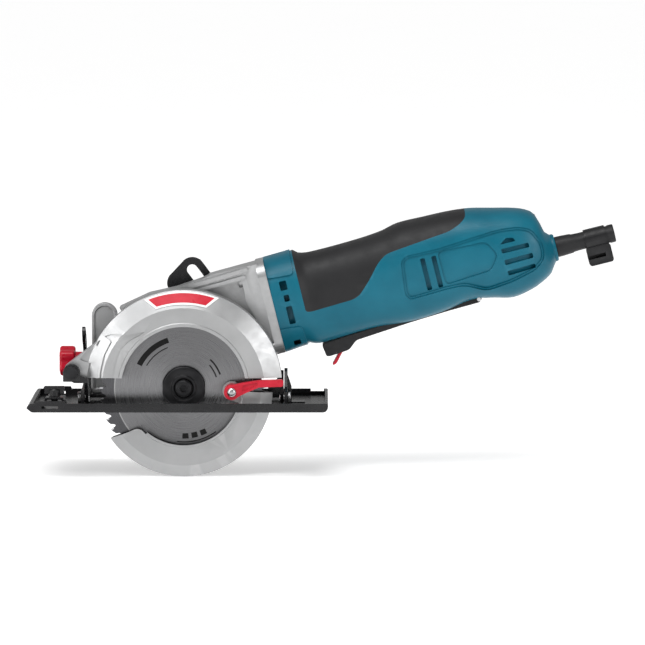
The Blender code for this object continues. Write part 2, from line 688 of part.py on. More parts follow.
def gear_train():
    top, idler = gear_places()
    pinion_phase, idler_phase, spindle_phase = meshing_phases()
    metal(toothed("spindle_gear", HUB_X, HUB_Z, SPINDLE_TEETH, 9.9, 7.9, -8.5, -1.5, spindle_phase, 5.9))
    metal(toothed("idler_gear", *idler, IDLER_TEETH, 13.9, 11.9, -8.5, -1.5, idler_phase, 3.3))
    metal(toothed("spur_pinion", *top, SPUR_TEETH, 6.9, 4.9, -8.5, -1.5, pinion_phase, 3.3))
    metal(rod("idler_pin", idler[0], 0, idler[1], 3.0, -14.5, -0.4, "Y", 12))
    shaft = [
        (0, 15.4), (3.0, 15.4), (3.0, 9.0), (4.0, 9.0), (4.0, 0.2), (5.6, 0.2), (5.6, -1.2), (3.0, -1.2),
        (3.0, -9.0), (5.0, -9.0), (5.0, -16.2), (0, -16.2),
    ]
    metal(turned("intermediate_shaft", shaft, axis_frame(top[0], 0, top[1]), 14))
    crown = prism("bevel_gear", arc(*top, 27.5, 0, 345, 23), 0.5, 6.5)
    phase = MOTOR_TILT + 180 / CROWN_TEETH
    teeth = toothed("crown_teeth", *top, CROWN_TEETH, 27.4, 21.5, 6.2, 8.6, phase, 4.3, 0.34)
    metal(cut(join(crown, teeth), rod("crown_bore", top[0], 0, top[1], 4.3, -5, 20, "Y", 12)))
    pinion_outline = [(-b, -a) for a, b in gear_outline(PINION_TEETH, 6.8, 4.6, 0.34)]
    pinion = prism("bevel_pinion", [(p[1], p[0]) for p in pinion_outline], -57.0, -51.0, "YZ", motor_frame())
    bore = turned("pinion_bore", [(0, -40), (3.3, -40), (3.3, -70), (0, -70)], motor_axis(), 16)
    return metal(cut(pinion, bore))


def motor_axis():
    """A frame whose +Z runs rearward along the motor axis."""
    return motor_frame() @ Matrix.Rotation(math.pi / 2, 4, "Y")


def bearings():
    """Plain rings that stand for the ball bearings of the three shafts."""
    top, _ = gear_places()
    spindle_frame = axis_frame(HUB_X, 0, HUB_Z)
    top_frame = axis_frame(top[0], 0, top[1])
    places = (
        ("spindle_front_bearing", spindle_frame, 5.3, 11.0, -16.2, -10.6),
        ("spindle_rear_bearing", spindle_frame, 4.3, 9.0, 3.4, 8.4),
        ("shaft_front_bearing", top_frame, 5.3, 10.0, -16.0, -11.0),
        ("shaft_rear_bearing", top_frame, 3.3, 8.0, 10.2, 15.0),
        ("motor_front_bearing", motor_axis(), 4.3, 10.6, -13.0, -6.8),
        ("motor_rear_bearing", motor_axis(), 3.3, 9.5, 132.0, 139.0),
    )
    for name, frame, inner, outer, low, high in places:
        metal(ring(name, frame, inner, outer, low, high, 14))


def case_outline():
    """The gear case in X and Z, from the spindle nose round the crown wheel to the flange."""
    top, _ = gear_places()
    flange_low = motor_point(-5.0, -33.5)
    flange_top = motor_point(-5.0, 34.5)
    outline = arc(HUB_X, HUB_Z, 12.8, 180, 325, 10)
    outline += [(30.0, 27.0), (44.0, 31.0), flange_low, flange_top, motor_point(-39, 34.6)]
    outline += [motor_point(-48, 33.0), (-2.0, 88.0), (-22.0, 83.6), (-44.0, 73.4)]
    outline += arc(*top, 33.0, 165, 200, 3)
    return outline


def gear_case():
    """The cast case: two blocks and a flange, hollow for the train and open to the blade side."""
    top, idler = gear_places()
    case = prism("gear_case", case_outline(), -12.0, 13.0)
    pinion_house = [motor_point(u, v) for u, v in ((-60, -13), (-5, -13), (-5, 34.0), (-42, 34.0), (-60, 22))]
    house = prism("pinion_house", pinion_house, 9.0, 26.0)
    frame = motor_frame()
    flange = prism("case_flange", rounded_rectangle(31.0, 35.3, 12.0), -6.5, -GAP / 2, "YZ", frame)
    slope = loft(
        "case_slope",
        [
            [(-40, -24, 34.2), (-40, 10, 34.2), (-40, 10, 5), (-40, -24, 5)],
            [(-6, -30.0, 34.2), (-6, 22, 34.2), (-6, 22, -26), (-6, -30.0, -26)],
        ],
        frame,
    )
    x, z = depth_bolt_place()
    bolt_boss = rod("depth_bolt_boss", x, 0, z, 8.0, 9.0, 25.8, "Y", 18)
    join(case, house, flange, slope, bolt_boss)
    crown_room = [(0, 16.0), (8.3, 16.0), (8.3, 9.9), (29.0, 9.9), (29.0, -20.0), (0, -20.0)]
    crown = turned("crown_cavity", crown_room, axis_frame(top[0], 0, top[1]), 32)
    middle = rod("idler_cavity", idler[0], 0, idler[1], 15.2, -20.0, 0.0, "Y", 28)
    spindle_room = [(0, 9.6), (9.3, 9.6), (9.3, 0.0), (11.3, 0.0), (11.3, -20.0), (0, -20.0)]
    low = turned("spindle_cavity", spindle_room, axis_frame(HUB_X, 0, HUB_Z), 28)
    motor_room = [(0, 5), (28, 5), (28, -3), (10.9, -3), (10.9, -13.4), (7.6, -13.4), (7.6, -59), (0, -59)]
    tunnel = turned("pinion_tunnel", motor_room, motor_axis(), 28)
    bolt_seat = rod("depth_bolt_seat", x, 0, z, 3.3, 16.0, 30.0, "Y", 12)
    lock_hole = rod("spindle_lock_hole", LOCK_X, 0, LOCK_Z, 2.8, 8.0, 16.0, "Y", 12)
    cut(case, crown, lock_hole, middle, low, tunnel, bolt_seat)
    return metal(case, SILVER, 0.5)


def rounded_rectangle(half_a, half_b, radius, steps=4):
    """A rectangle about the origin with round corners."""
    outline = []
    for sign_a, sign_b, start in ((1, 1, 0), (-1, 1, 90), (-1, -1, 180), (1, -1, 270)):
        centre_a, centre_b = sign_a * (half_a - radius), sign_b * (half_b - radius)
        outline += arc(centre_a, centre_b, radius, start, start + 90, steps)
    return outline


def cover_outline():
    top, _ = gear_places()
    outline = arc(HUB_X, HUB_Z, 12.8, 180, 325, 10)
    outline += [(26.0, 38.0)]
    outline += arc(*top, 32.0, 0, 180, 18)
    return outline


def gear_case_cover():
    """The plate on the blade side that carries the front bearings and the guard's nose."""
    top, idler = gear_places()
    cover = prism("gear_case_cover", cover_outline(), -17.5, -12.3)
    frame = axis_frame(HUB_X, 0, HUB_Z)
    nose = turned("cover_nose", [(0, -14.0), (14.8, -14.0), (14.8, -24.4), (0, -24.4)], frame, 32)
    join(cover, nose)
    room = [(0, -10), (11.3, -10), (11.3, -16.5), (7.5, -16.5), (7.5, -30), (0, -30)]
    bore = turned("nose_bore", room, frame, 28)
    shaft_seat = rod("cover_shaft_seat", top[0], 0, top[1], 10.3, -16.5, -10.0, "Y", 18)
    pin_seat = rod("cover_pin_seat", idler[0], 0, idler[1], 3.3, -15.0, -10.0, "Y", 12)
    return metal(cut(cover, bore, shaft_seat, pin_seat), SILVER, 0.5)


def spindle_lock():
    """The push button that stops the crown wheel while the blade is changed."""
    button = turned(
        "spindle_lock_button",
        [(0, 20.0), (5.2, 20.0), (6.0, 19.0), (6.0, 16.6), (2.5, 16.6), (2.5, 12.6), (0, 12.6)],
        axis_frame(LOCK_X, 0, LOCK_Z),
        20,
    )
    return painted(button)


def housing_section(u, top, bottom, half_width, inset, points=20):
    """A soft rectangle across the motor axis."""
    middle = (top + bottom) / 2
    tall, wide = (top - bottom) / 2 - inset, half_width - inset
    section = []
    for i in range(points):
        angle = 2 * math.pi * (i + 0.5) / points
        c, s = math.cos(angle), math.sin(angle)
        power = 2 / 2.7
        section.append(
            (u, math.copysign(abs(c) ** power, c) * wide, middle + math.copysign(abs(s) ** power, s) * tall)
        )
    return section


def housing_loft(name, inset=0.0):
    sections = [housing_section(u, top, bottom, wide, inset) for u, top, bottom, wide, _ in HOUSING]
    return loft(name, sections, motor_frame())


def housing_hollow(name):
    """The room inside, open at the front and closed before the tail."""
    sections = [housing_section(-2.0, 35.3, -35.3, 31.0, 2.8)]
    sections += [housing_section(u, top, bottom, wide, wall) for u, top, bottom, wide, wall in HOUSING[:-1]]
    return loft(name, sections, motor_frame())


def grip_prism(name, grow=0.0):
    outline = [(u - grow if u < 22 else u + grow * (u > 100), v - grow * (v < 50)) for u, v in GRIP_EDGE]
    return prism(name, outline, -60, 60, "XZ", motor_frame())


def housing_half(name, low, high):
    """One moulded shell of the body, cut for the grip, the paddle, the vents and the cord."""
    frame = motor_frame()
    shell = housing_loft(name)
    seat = cut(grip_prism(name + "_seat", GAP), housing_loft(name + "_core", 2.7))
    paddle_room = box(name + "_paddle_room", (24.0, -11.0, -60.0), (153.0, 11.0, -26.5), frame)
    cord = turned(name + "_cord_hole", [(0, 190), (5.9, 190), (5.9, 230), (0, 230)][::-1], cord_axis(), 20)
    side = box(name + "_side", (-10, low, -80), (260, high, 80), frame)
    pin_hole = pin_bore(name + "_pin_hole", 14)
    cut(shell, housing_hollow(name + "_room"), seat, paddle_room, cord, pin_hole, *vents(name, frame))
    keep_inside(shell, side)
    return painted(shell, TEAL)


def cord_axis():
    """A frame whose +Z runs rearward along the cord guard, a little below the motor axis."""
    return motor_frame() @ place(0, 0, -9.3) @ Matrix.Rotation(math.pi / 2, 4, "Y")


def vents(name, frame):
    """Air slots through both sides: a column at the front, two tall slots and four rear ones."""
    places = [(7.8, 12.5, 12.8, 18.6), (8.4, 12.4, 3.0, 7.2), (8.4, 12.4, -15.0, -1.0)]
    places += [(7.4, 12.6, -32.0, -28.6)]
    places += [(113.6, 116.2, -15.0, 10.0), (122.4, 125.0, -15.0, 10.0)]
    places += [(175.0, 196.0, v, v + 2.6) for v in (5.0, -1.0, -9.8, -16.4)]
    slots = []
    for i, (u0, u1, v0, v1) in enumerate(places):
        slots.append(box(f"{name}_vent_{i}", (u0, -60, v0), (u1, 60, v1), frame))
    return slots


def grip_overmold():
    """The rubber that wraps the top of the body where the hand holds it."""
    grip = housing_loft("grip_overmold")
    keep_inside(grip, grip_prism("grip_region"))
    cut(grip, housing_loft("grip_core", 2.4))
    return finish(grip, RUBBER, 0.8, 0.0)


def motor_parts():
    axis = motor_axis()
    metal(ring("stator", axis, 15.6, 22.6, 40.0, 88.0, 24), STEEL, 0.5)
    shaft = [
        (0, -58.0), (3.0, -58.0), (3.0, -50.0), (4.0, -50.0), (4.0, 126.0), (3.0, 126.0), (3.0, 142.0),
        (0, 142.0),
    ]
    metal(turned("armature_shaft", shaft[::-1], axis, 16))
    metal(ring("rotor_core", axis, 4.3, 14.9, 42.0, 86.0, 18), STEEL, 0.5)
    metal(ring("commutator", axis, 4.3, 10.5, 98.0, 112.0, 16), COPPER, 0.4)
    fan_outline = gear_outline(9, 22.4, 12.0, 0.5)
    fan = prism("cooling_fan", fan_outline, 17.0, 27.0, "YZ", motor_frame())
    plate = turned("fan_plate", [(0, 26.6), (22.8, 26.6), (22.8, 28.4), (0, 28.4)][::-1], axis, 20)
    bore = turned("fan_bore", [(0, 10), (4.3, 10), (4.3, 40), (0, 40)][::-1], axis, 12)
    plate_join = turned("fan_hub", [(0, 16.6), (9, 16.6), (9, 27.4), (0, 27.4)][::-1], axis, 12)
    painted(cut(join(fan, plate, plate_join), bore), (0.05, 0.05, 0.05, 1.0))
    frame = motor_frame()
    for name, low, high in (("brush_holder_left", -24.0, -11.6), ("brush_holder_right", 11.6, 24.0)):
        metal(box(name, (101.0, low, -4.0), (109.0, high, 4.0), frame), BRASS, 0.4)
    painted(box("switch_unit", (144.0, -9.0, -25.6), (172.0, 9.0, -8.0), frame))
    return frame


def paddle_switch():
    """The long paddle under the grip, hinged at its rear end."""
    frame = motor_frame()
    outline = [(27.0, -37.1), (28.4, -46.4), (31.0, -47.0), (45.9, -45.8), (52.7, -40.2), (94.2, -37.0)]
    outline += [(125.0, -35.4), (149.0, -34.8), (151.5, -32.5), (149.5, -30.0), (125.0, -31.6)]
    outline += [(94.0, -33.2), (50.0, -35.2)]
    paddle = prism("paddle_switch", outline, -9.5, 9.5, "XZ", frame)
    pivot = pin_bore("paddle_pivot_bore", 20)
    notch = box("lock_notch", (30.0, -6.3, -60), (45.5, 6.3, -41.0), frame)
    painted(cut(paddle, pivot, notch))
    pin = [(0, 12.5), (1.5, 12.5), (1.5, -12.5), (0, -12.5)]
    return metal(turned("paddle_pin", pin, paddle_pin_axis(), 12))


def paddle_pin_axis():
    return motor_frame() @ place(149.0, 0, -32.4) @ Matrix.Rotation(-math.pi / 2, 4, "X")


def pin_bore(name, half_length):
    """A cutter round the paddle's hinge pin."""
    profile = [(0, half_length), (1.8, half_length), (1.8, -half_length), (0, -half_length)]
    return turned(name, profile, paddle_pin_axis(), 12)


def lock_off_lever():
    """The thin red tongue that stops the paddle until it is pushed."""
    outline = [(38.6, -42.0), (41.6, -42.0), (41.6, -45.4), (34.4, -53.6), (31.6, -54.6), (31.2, -53.4)]
    outline += [(38.6, -45.4)]
    tongue = prism("lock_off_lever", outline, -6.0, 6.0, "XZ", motor_frame())
    return painted(tongue, RED)


def cord_guard():
    """The ribbed sleeve that the cord leaves through, and the clip for the hex key below it."""
    profile = [
        (3.6, 205.0), (5.6, 205.0), (5.6, 214.4), (7.6, 214.4), (7.2, 226.0), (6.2, 228.0), (6.4, 254.0),
        (6.8, 255.0), (6.8, 259.0), (3.6, 259.0),
    ]
    sleeve = finish(turned("cord_guard", profile[::-1], cord_axis(), 20), RUBBER, 0.7, 0.0)
    frame = motor_frame()
    block = [(235.5, -15.4), (254.0, -15.4), (254.0, -29.4), (235.5, -29.4)]
    holder = prism("hex_key_holder", block, -5.0, 5.0, "XZ", frame)
    band = turned("holder_band", [(0, 236.4), (8.6, 236.4), (8.6, 252.5), (0, 252.5)][::-1], cord_axis(), 20)
    bore = turned("holder_bore", [(0, 225), (6.75, 225), (6.75, 265), (0, 265)][::-1], cord_axis(), 20)
    slit = box("holder_slit", (230.0, -8, -24.4), (249.0, 8, -21.6), frame)
    painted(cut(join(holder, band), bore, slit))
    return sleeve


def build():
    clear_scene()
    base_plate()
    bevel_quadrant()
    rear_bevel_bracket()
    bevel_pin("front_bevel_pin", -72.6, -65.8, -74.2, -71.9)
    bevel_pin("rear_bevel_pin", 75.0, 82.4, 81.3, 83.2)
    fence_clamp()
    tilt_frame()
    bevel_clamp()
    guide_cheek()
    depth_guide()
    depth_pivot_pin()
    depth_lock()
    upper_guard()
    guard_label()
    gear_case()
    gear_case_cover()
    spindle_lock()
    spindle_stack()
    blade()
    gear_train()
    bearings()
    lower_guard()
    guard_lever()
    guard_return_spring()
    housing_half("motor_housing_left", -60, -GAP / 2)
    housing_half("motor_housing_right", GAP / 2, 60)
    grip_overmold()
    motor_parts()
    paddle_switch()
    lock_off_lever()
    cord_guard()


build()
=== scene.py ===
"""The finished look of a compact circular saw over its CAD frame.

Lengths are in millimetres and angles in degrees, in the frame's own axes: +Z is up, -X is the front of the
saw and -Y is the blade side. The mesh builders turn millimetres into metres.
"""

import math

import bmesh
import bpy
from mathutils import Matrix, Vector


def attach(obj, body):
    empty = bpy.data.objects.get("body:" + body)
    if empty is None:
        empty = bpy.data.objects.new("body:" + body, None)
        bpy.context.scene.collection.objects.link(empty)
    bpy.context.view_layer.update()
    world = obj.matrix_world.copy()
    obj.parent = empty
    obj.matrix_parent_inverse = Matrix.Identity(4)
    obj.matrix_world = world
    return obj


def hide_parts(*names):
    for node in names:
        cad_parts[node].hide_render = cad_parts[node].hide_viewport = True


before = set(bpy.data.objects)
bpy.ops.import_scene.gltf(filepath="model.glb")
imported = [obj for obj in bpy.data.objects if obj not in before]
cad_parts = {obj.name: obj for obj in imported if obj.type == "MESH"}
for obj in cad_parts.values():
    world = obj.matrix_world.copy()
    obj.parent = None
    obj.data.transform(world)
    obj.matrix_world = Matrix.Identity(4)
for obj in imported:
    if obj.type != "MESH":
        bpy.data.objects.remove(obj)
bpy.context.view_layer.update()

MM = 0.001
# The gap between pieces that meet without joining
GAP = 0.3

HUB_X, HUB_Z = 4.2, 15.5
BLADE_RADIUS = 62.5
BLADE_TEETH = 48
BLADE_NEAR, BLADE_FAR = -28.8, -27.2

UPPER_RADIUS = 73
UPPER_WINDOW = 46.2
UPPER_NEAR, UPPER_FAR = -42, -17.8
UPPER_CUT = 23.6
# Where the flat ring turns into the chamfer, the chamfer's depth, and its normal along the radius and -Y
CHAMFER_START, CHAMFER_DEPTH = 60, 6
CHAMFER_NORMAL = (0.419, 0.908)
LOWER_RADIUS = 65.95
LOWER_INNER = 42.3
LOWER_NEAR, LOWER_FAR = -35.5, -22.3
LEVER_X, LEVER_Z = 39.9, 13.7

STUD_Y, STUD_Z = 16.27, 31.24
KNOB_RADIUS, KNOB_LOBES, KNOB_WAVE = 10.4, 5, 1.2
DEPTH_X, DEPTH_Z = -78.1, 28.2
DEPTH_SLOT_RADIUS = 112.4
DEPTH_SLOT_TOP = 39
DEPTH_RANGE = 33

MOTOR_X, MOTOR_Y, MOTOR_Z = 71.2, 14, 74
MOTOR_TILT = 14
CORD_V = -9.3
CROWN_U = -79.1
PADDLE_PIN_U, PADDLE_PIN_V = 149, -32.4
LOCK_X, LOCK_Z = -27, 58

# Each finish: darker and lighter colour, patch scale, roughness range, metallic, specular, grain scale, depth
FINISHES = {
    "black_paint": ((0.004, 0.004, 0.005), (0.009, 0.009, 0.01), 55, (0.22, 0.32), 0, 0.35, 1500, 0.007),
    "black_steel": ((0.014, 0.014, 0.015), (0.03, 0.03, 0.032), 120, (0.28, 0.42), 0.75, 0.4, 900, 0.012),
    "silver_casting": ((0.355, 0.358, 0.361), (0.425, 0.428, 0.431), 35, (0.32, 0.42), 0.7, 0.4, 1900, 0.022),
    "steel": ((0.42, 0.42, 0.43), (0.6, 0.6, 0.61), 90, (0.22, 0.38), 1, 0.5, 1200, 0.008),
    "copper": ((0.45, 0.18, 0.08), (0.66, 0.3, 0.16), 120, (0.3, 0.45), 1, 0.5, 900, 0.008),
    "brass": ((0.5, 0.36, 0.12), (0.72, 0.55, 0.25), 120, (0.3, 0.45), 1, 0.5, 900, 0.008),
    "red_plastic": ((0.42, 0.003, 0.017), (0.52, 0.006, 0.026), 45, (0.26, 0.36), 0, 0.3, 2200, 0.008),
    "teal_plastic": ((0.003, 0.098, 0.148), (0.006, 0.122, 0.18), 40, (0.3, 0.4), 0, 0.22, 2400, 0.012),
    "black_plastic": ((0.004, 0.004, 0.005), (0.009, 0.009, 0.01), 60, (0.36, 0.5), 0, 0.3, 1800, 0.016),
    "grip_rubber": ((0.012, 0.012, 0.013), (0.018, 0.018, 0.019), 30, (0.42, 0.56), 0, 0.25, 1300, 0.045),
    "label_border": ((0.72, 0.72, 0.72), (0.8, 0.8, 0.8), 60, (0.3, 0.4), 0, 0.4, 2600, 0.004),
}

# Plain printed bars on the blade: inner and outer radius, then first and last angle in turns
BLADE_BARS = (
    (35, 39, 0.300, 0.425), (31.6, 32.4, 0.310, 0.415), (28, 29.2, 0.055, 0.130),
    (24.8, 25.8, 0.050, 0.115), (34, 38, -0.255, -0.235), (34, 38, -0.225, -0.205),
    (34, 38, -0.195, -0.175), (40, 40.8, -0.270, -0.150),
)

# One tooth and its hard tip: (share of the pitch, drop from the blade's radius)
TOOTH = (
    (0.00, 0), (0.14, 0.45), (0.34, 1), (0.54, 1.7), (0.62, 2.9), (0.70, 3.9), (0.78, 4.5), (0.86, 4.7),
    (0.93, 4.1), (0.97, 2.6),
)
TIP = ((-0.005, 0), (0.10, 0.3), (0.085, 2.6), (-0.035, 2.5))
TIP_OVERHANG = 0.2

# Where the label's ends meet its outer rim, and how far they lean in, in degrees per millimetre
LABEL_RIM = 72.5
LABEL_LEANS = (0.60, 0.54)

# The sunk leaf and band on the fixed guard's blade side, in X and Z
GUARD_LEAF = (
    (-54.6, 54.4), (-48, 56.2), (-39.1, 55.6), (-31, 56.8), (-23.6, 58), (-29, 54.6), (-34.3, 52),
    (-39, 47.8), (-42.3, 44), (-45, 36.6), (-46.3, 31), (-48, 20), (-58.2, 20), (-56.8, 31),
    (-54.4, 40.7), (-51.2, 47.2), (-48.9, 51),
)

# What is cut off the swinging guard's front end to leave a round peak, from the hub
GUARD_TIP = (
    (-70, -43), (-53.8, -37.2), (-39.5, -32), (-36.4, -30.4), (-34.2, -30), (-31.6, -30.6),
    (-29.4, -32.4), (-27.8, -34.6), (-26, -30), (-26, 0), (-70, 0),
)

# Housing rows along the motor axis: (distance, top, bottom, half width)
HOUSING = (
    (0, 35.3, -35.3, 31), (19, 36, -33.8, 31.5), (22.5, 36.4, -35.4, 31), (26, 33.4, -36.4, 29.6),
    (35, 31.9, -36.2, 28.6), (70, 32.5, -34.8, 28.8), (90, 34.2, -36.6, 29.8), (103, 37, -36.8, 31.2),
    (123, 36.9, -35.2, 32), (143, 36.4, -32, 32), (158, 34.8, -34, 31.4),
    (174.5, 30.9, -37.6, 30), (190, 27, -35, 27.6), (199, 23.4, -31.4, 25),
    (204.4, 18.6, -28.4, 22), (206.6, 11.6, -26.6, 19), (208.4, 4, -24, 15.5), (211.6, 0.8, -19.6, 10.6),
)
HOUSING_STEP = 3
HOUSING_SQUARENESS = 2.7

# Outlines on the housing's sides, along and above the motor axis
GRIP_EDGE = (
    (21.9, 60), (21.9, -8.8), (26, -9.8), (57.9, -8.6), (63.4, -6.8), (73.4, 2.7), (82.3, 13.1),
    (89.8, 18.3), (100.8, 19.6), (125.4, 22.1), (139.4, 23.4), (148.3, 26.6), (154.1, 30.6), (156.2, 60),
)
SIDE_FIELD = (
    (99, 10), (103.5, 13.6), (126.8, 13.2), (155, 15.1), (175, 16.1), (190.2, 14.2), (199, 10.1),
    (204.8, -2.2), (203.9, -13.8), (195.3, -20.5), (176.5, -24.7), (156.2, -27), (140.9, -18.6),
    (127.2, -18), (99.1, -19.2), (96.3, -14.6),
)
RATING_FIELD = ((127, 11), (164, 9.6), (170.5, -2), (163, -12.4), (127.6, -14.8))
VENTS = (
    ((7.6, 10.6), (13, 10.6), (13, 17.6), (7.6, 17.6)),
    ((8.6, 2), (12.6, 2), (12.6, 7), (8.6, 7)),
    ((8.2, -15.2), (12.8, -15.2), (12.8, -1.6), (8.2, -1.6)),
    ((7.4, -32), (12.9, -32), (12.9, -28), (7.4, -28)),
    ((113.4, -15.6), (117, -15.6), (117, 8.8), (113.4, 8.8)),
    ((121.9, -15.6), (125.4, -15.6), (125.4, 8.6), (121.9, 8.6)),
    ((173.6, 4.7), (185.4, 4.4), (184.4, 7.2), (179, 8.4)),
    ((173.6, -2.2), (194.6, -2.6), (194.4, 1), (173.6, 1.2)),
    ((174, -11.2), (195.6, -11), (195.6, -7.2), (174, -7.2)),
    ((174.6, -19.4), (195.8, -18.6), (195.6, -15.4), (174.2, -15.8)),
)
FRONT_PADS = (
    ((-1, 22), (19.4, 20.6), (20.4, 40), (-1, 40)),
    ((-1, -17), (16.4, -18.6), (17.4, -40), (-1, -40)),
)

# Copper windings: name, body, radii, and their spans in front of and behind the cores
WINDINGS = (
    ("rotor_winding", "armature", 4.4, 13.4, ((33, 41.7), (86.3, 95))),
    ("stator_winding", "saw_body", 16.4, 21.4, ((32, 39.7), (88.3, 96))),
)

# The sunk wall of the gear case beside the guard, in X and Z
CASE_POCKET = (
    (14, 84.6), (24, 87.4), (46.6, 93.8), (48.8, 86.4), (49.6, 79), (57, 66), (62, 56),
    (42, 54), (31, 66), (26.5, 74),
)
# The bosses behind the gear case's flange: start along the motor axis, Y and height above the axis
CASE_BOSSES = ((-22, -22, 24), (-13, -24, -29), (-22, 18, 24), (-13, 22, -29))
# The two beads above the sunk wall: ends in X and Z, half width and lift
CASE_BEADS = (((9, 89.4), (50, 101.8), 1.5, 3.2), ((9, 85.2), (48.6, 96.4), 1.2, 2.6))

# CAD nodes shown with softened edges: (node, finish, body, edge width)
SMALL_PARTS = (
    *((name, "black_paint", "base", 0.3) for name in ("bevel_quadrant", "rear_bevel_bracket")),
    *((name, "steel", "base", 0.3) for name in ("front_bevel_pin", "rear_bevel_pin")),
    ("fence_clamp_bridge", "black_paint", "base", 0.3),
    ("fence_wing_screw", "black_paint", "fence_screw", 0.4),
    ("tilt_frame", "black_paint", "tilt_frame", 0.3),
    ("depth_pivot_pin", "black_steel", "tilt_frame", 0.4),
    ("bevel_stud", "steel", "tilt_frame", 0.3),
    ("depth_lock_bolt", "steel", "saw_body", 0.3),
    ("depth_lock_lever", "red_plastic", "depth_lever", 0.8),
    ("gear_case_cover", "silver_casting", "saw_body", 0.4),
    ("spindle_lock_button", "black_plastic", "spindle_lock", 0.4),
)

# Finishes of the CAD nodes that stay as they are, inside the saw
INNER_FINISHES = {
    "steel": (
        "spindle", "spindle_gear", "idler_gear", "idler_pin", "intermediate_shaft", "bevel_gear",
        "spur_pinion", "armature_shaft", "rotor_core", "bevel_pinion", "stator", "spindle_front_bearing",
        "spindle_rear_bearing", "shaft_front_bearing", "shaft_rear_bearing", "motor_front_bearing",
        "motor_rear_bearing", "paddle_pin", "guard_return_spring",
    ),
    "copper": ("commutator",),
    "brass": ("brush_holder_left", "brush_holder_right"),
    "black_plastic": ("cooling_fan", "switch_unit"),
    "black_steel": ("inner_flange",),
}

# Studio: floor height and glow, room light towards and away from the blade side, a sun, and soft panels,
# each with its place and size in metres and its power in watts
FLOOR_Z = -50.6
FLOOR_RADIUS = 40000
FLOOR_GLOW = 0.42
ROOM_LIGHT = (0.08, 0.38)
SUN_POWER = 1.15
SUN_WIDTH = 50
SUN_TURN = (28, -16, 0)
PANELS = (
    ("left_panel", (-2.2, -2.2, 0.9), (0.7, 1.6), 30),
    ("right_panel", (2.3, -2.2, 1), (0.6, 1.6), 28),
    ("top_panel", (-0.3, -1.5, 2.4), (1.8, 0.7), 22),
)
PANEL_AIM = (0.1, 0, 0.05)

CAMERA_TARGET = (106.9, -28, 63.8)
CAMERA_RISE = 4.7
CAMERA_DISTANCE = 4000
CAMERA_WIDTH = 477.3
SENSOR_WIDTH = 36


def node(tree, kind, **settings):
    made = tree.nodes.new(kind)
    for key, value in settings.items():
        setattr(made, key, value)
    return made


def feed(tree, socket, value):
    """Links an output to a socket, or sets a plain number on it."""
    if hasattr(value, "is_output"):
        tree.links.new(value, socket)
    else:
        socket.default_value = value


def arithmetic(tree, operation, first, second=0, third=0):
    made = node(tree, "ShaderNodeMath", operation=operation)
    for socket, value in zip(made.inputs, (first, second, third)):
        feed(tree, socket, value)
    return made.outputs[0]


def noise(tree, where, scale, detail=4):
    made = node(tree, "ShaderNodeTexNoise")
    made.inputs["Scale"].default_value = scale
    made.inputs["Detail"].default_value = detail
    tree.links.new(where, made.inputs["Vector"])
    return made.outputs["Fac"]


def spread(tree, value, low, high, from_low=0.3, from_high=0.7):
    """A value remapped to a range."""
    made = node(tree, "ShaderNodeMapRange")
    for name, amount in (("From Min", from_low), ("From Max", from_high), ("To Min", low), ("To Max", high)):
        made.inputs[name].default_value = amount
    tree.links.new(value, made.inputs["Value"])
    return made.outputs["Result"]


def mixed(tree, share, first, second):
    """A colour between two, each given as three numbers or as an output."""
    made = node(tree, "ShaderNodeMix", data_type="RGBA")
    feed(tree, made.inputs["Factor"], share)
    for socket, colour in ((made.inputs["A"], first), (made.inputs["B"], second)):
        feed(tree, socket, colour if hasattr(colour, "is_output") else (*colour, 1))
    return made.outputs["Result"]


def bumped(tree, shader, height, depth):
    """Relief of a depth in millimetres on the shader's normal."""
    made = node(tree, "ShaderNodeBump")
    made.inputs["Strength"].default_value = 1
    made.inputs["Distance"].default_value = depth * MM
    tree.links.new(height, made.inputs["Height"])
    tree.links.new(made.outputs["Normal"], shader.inputs["Normal"])


def blank_material(name):
    material = bpy.data.materials.new(name)
    material.use_nodes = True
    tree = material.node_tree
    return material, tree, tree.nodes["Principled BSDF"]


def finish_material(name, dark, light, patch, rough, metallic, specular, grain, depth):
    """Two tones in soft patches, uneven roughness, a lighter rub on sharp edges and a fine grain."""
    material, tree, shader = blank_material(name)
    where = node(tree, "ShaderNodeTexCoord").outputs["Object"]
    tone = mixed(tree, spread(tree, noise(tree, where, patch), 0, 1), dark, light)
    edges = node(tree, "ShaderNodeNewGeometry").outputs["Pointiness"]
    rub = arithmetic(tree, "MULTIPLY", spread(tree, edges, 0, 0.35, 0.52, 0.62), noise(tree, where, 260))
    worn = [min(1, 1.5 * part + 0.04) for part in light]
    tree.links.new(mixed(tree, rub, tone, worn), shader.inputs["Base Color"])
    tree.links.new(spread(tree, noise(tree, where, patch * 5), *rough), shader.inputs["Roughness"])
    shader.inputs["Metallic"].default_value = metallic
    shader.inputs["Specular IOR Level"].default_value = specular
    fine = noise(tree, where, grain, 2)
    coarse = noise(tree, where, grain / 5, 3)
    bumped(tree, shader, arithmetic(tree, "ADD", fine, coarse), depth)
    return material


def around_hub(tree):
    """The distance from the object's own Y axis in millimetres, and the angle about it in turns."""
    where = node(tree, "ShaderNodeTexCoord").outputs["Object"]
    split = node(tree, "ShaderNodeSeparateXYZ")
    tree.links.new(where, split.inputs[0])
    x, z = split.outputs["X"], split.outputs["Z"]
    squares = arithmetic(tree, "ADD", arithmetic(tree, "MULTIPLY", x, x), arithmetic(tree, "MULTIPLY", z, z))
    radius = arithmetic(tree, "MULTIPLY", arithmetic(tree, "SQRT", squares), 1 / MM)
    turn = arithmetic(tree, "DIVIDE", arithmetic(tree, "ARCTAN2", z, x), 2 * math.pi)
    return radius, turn


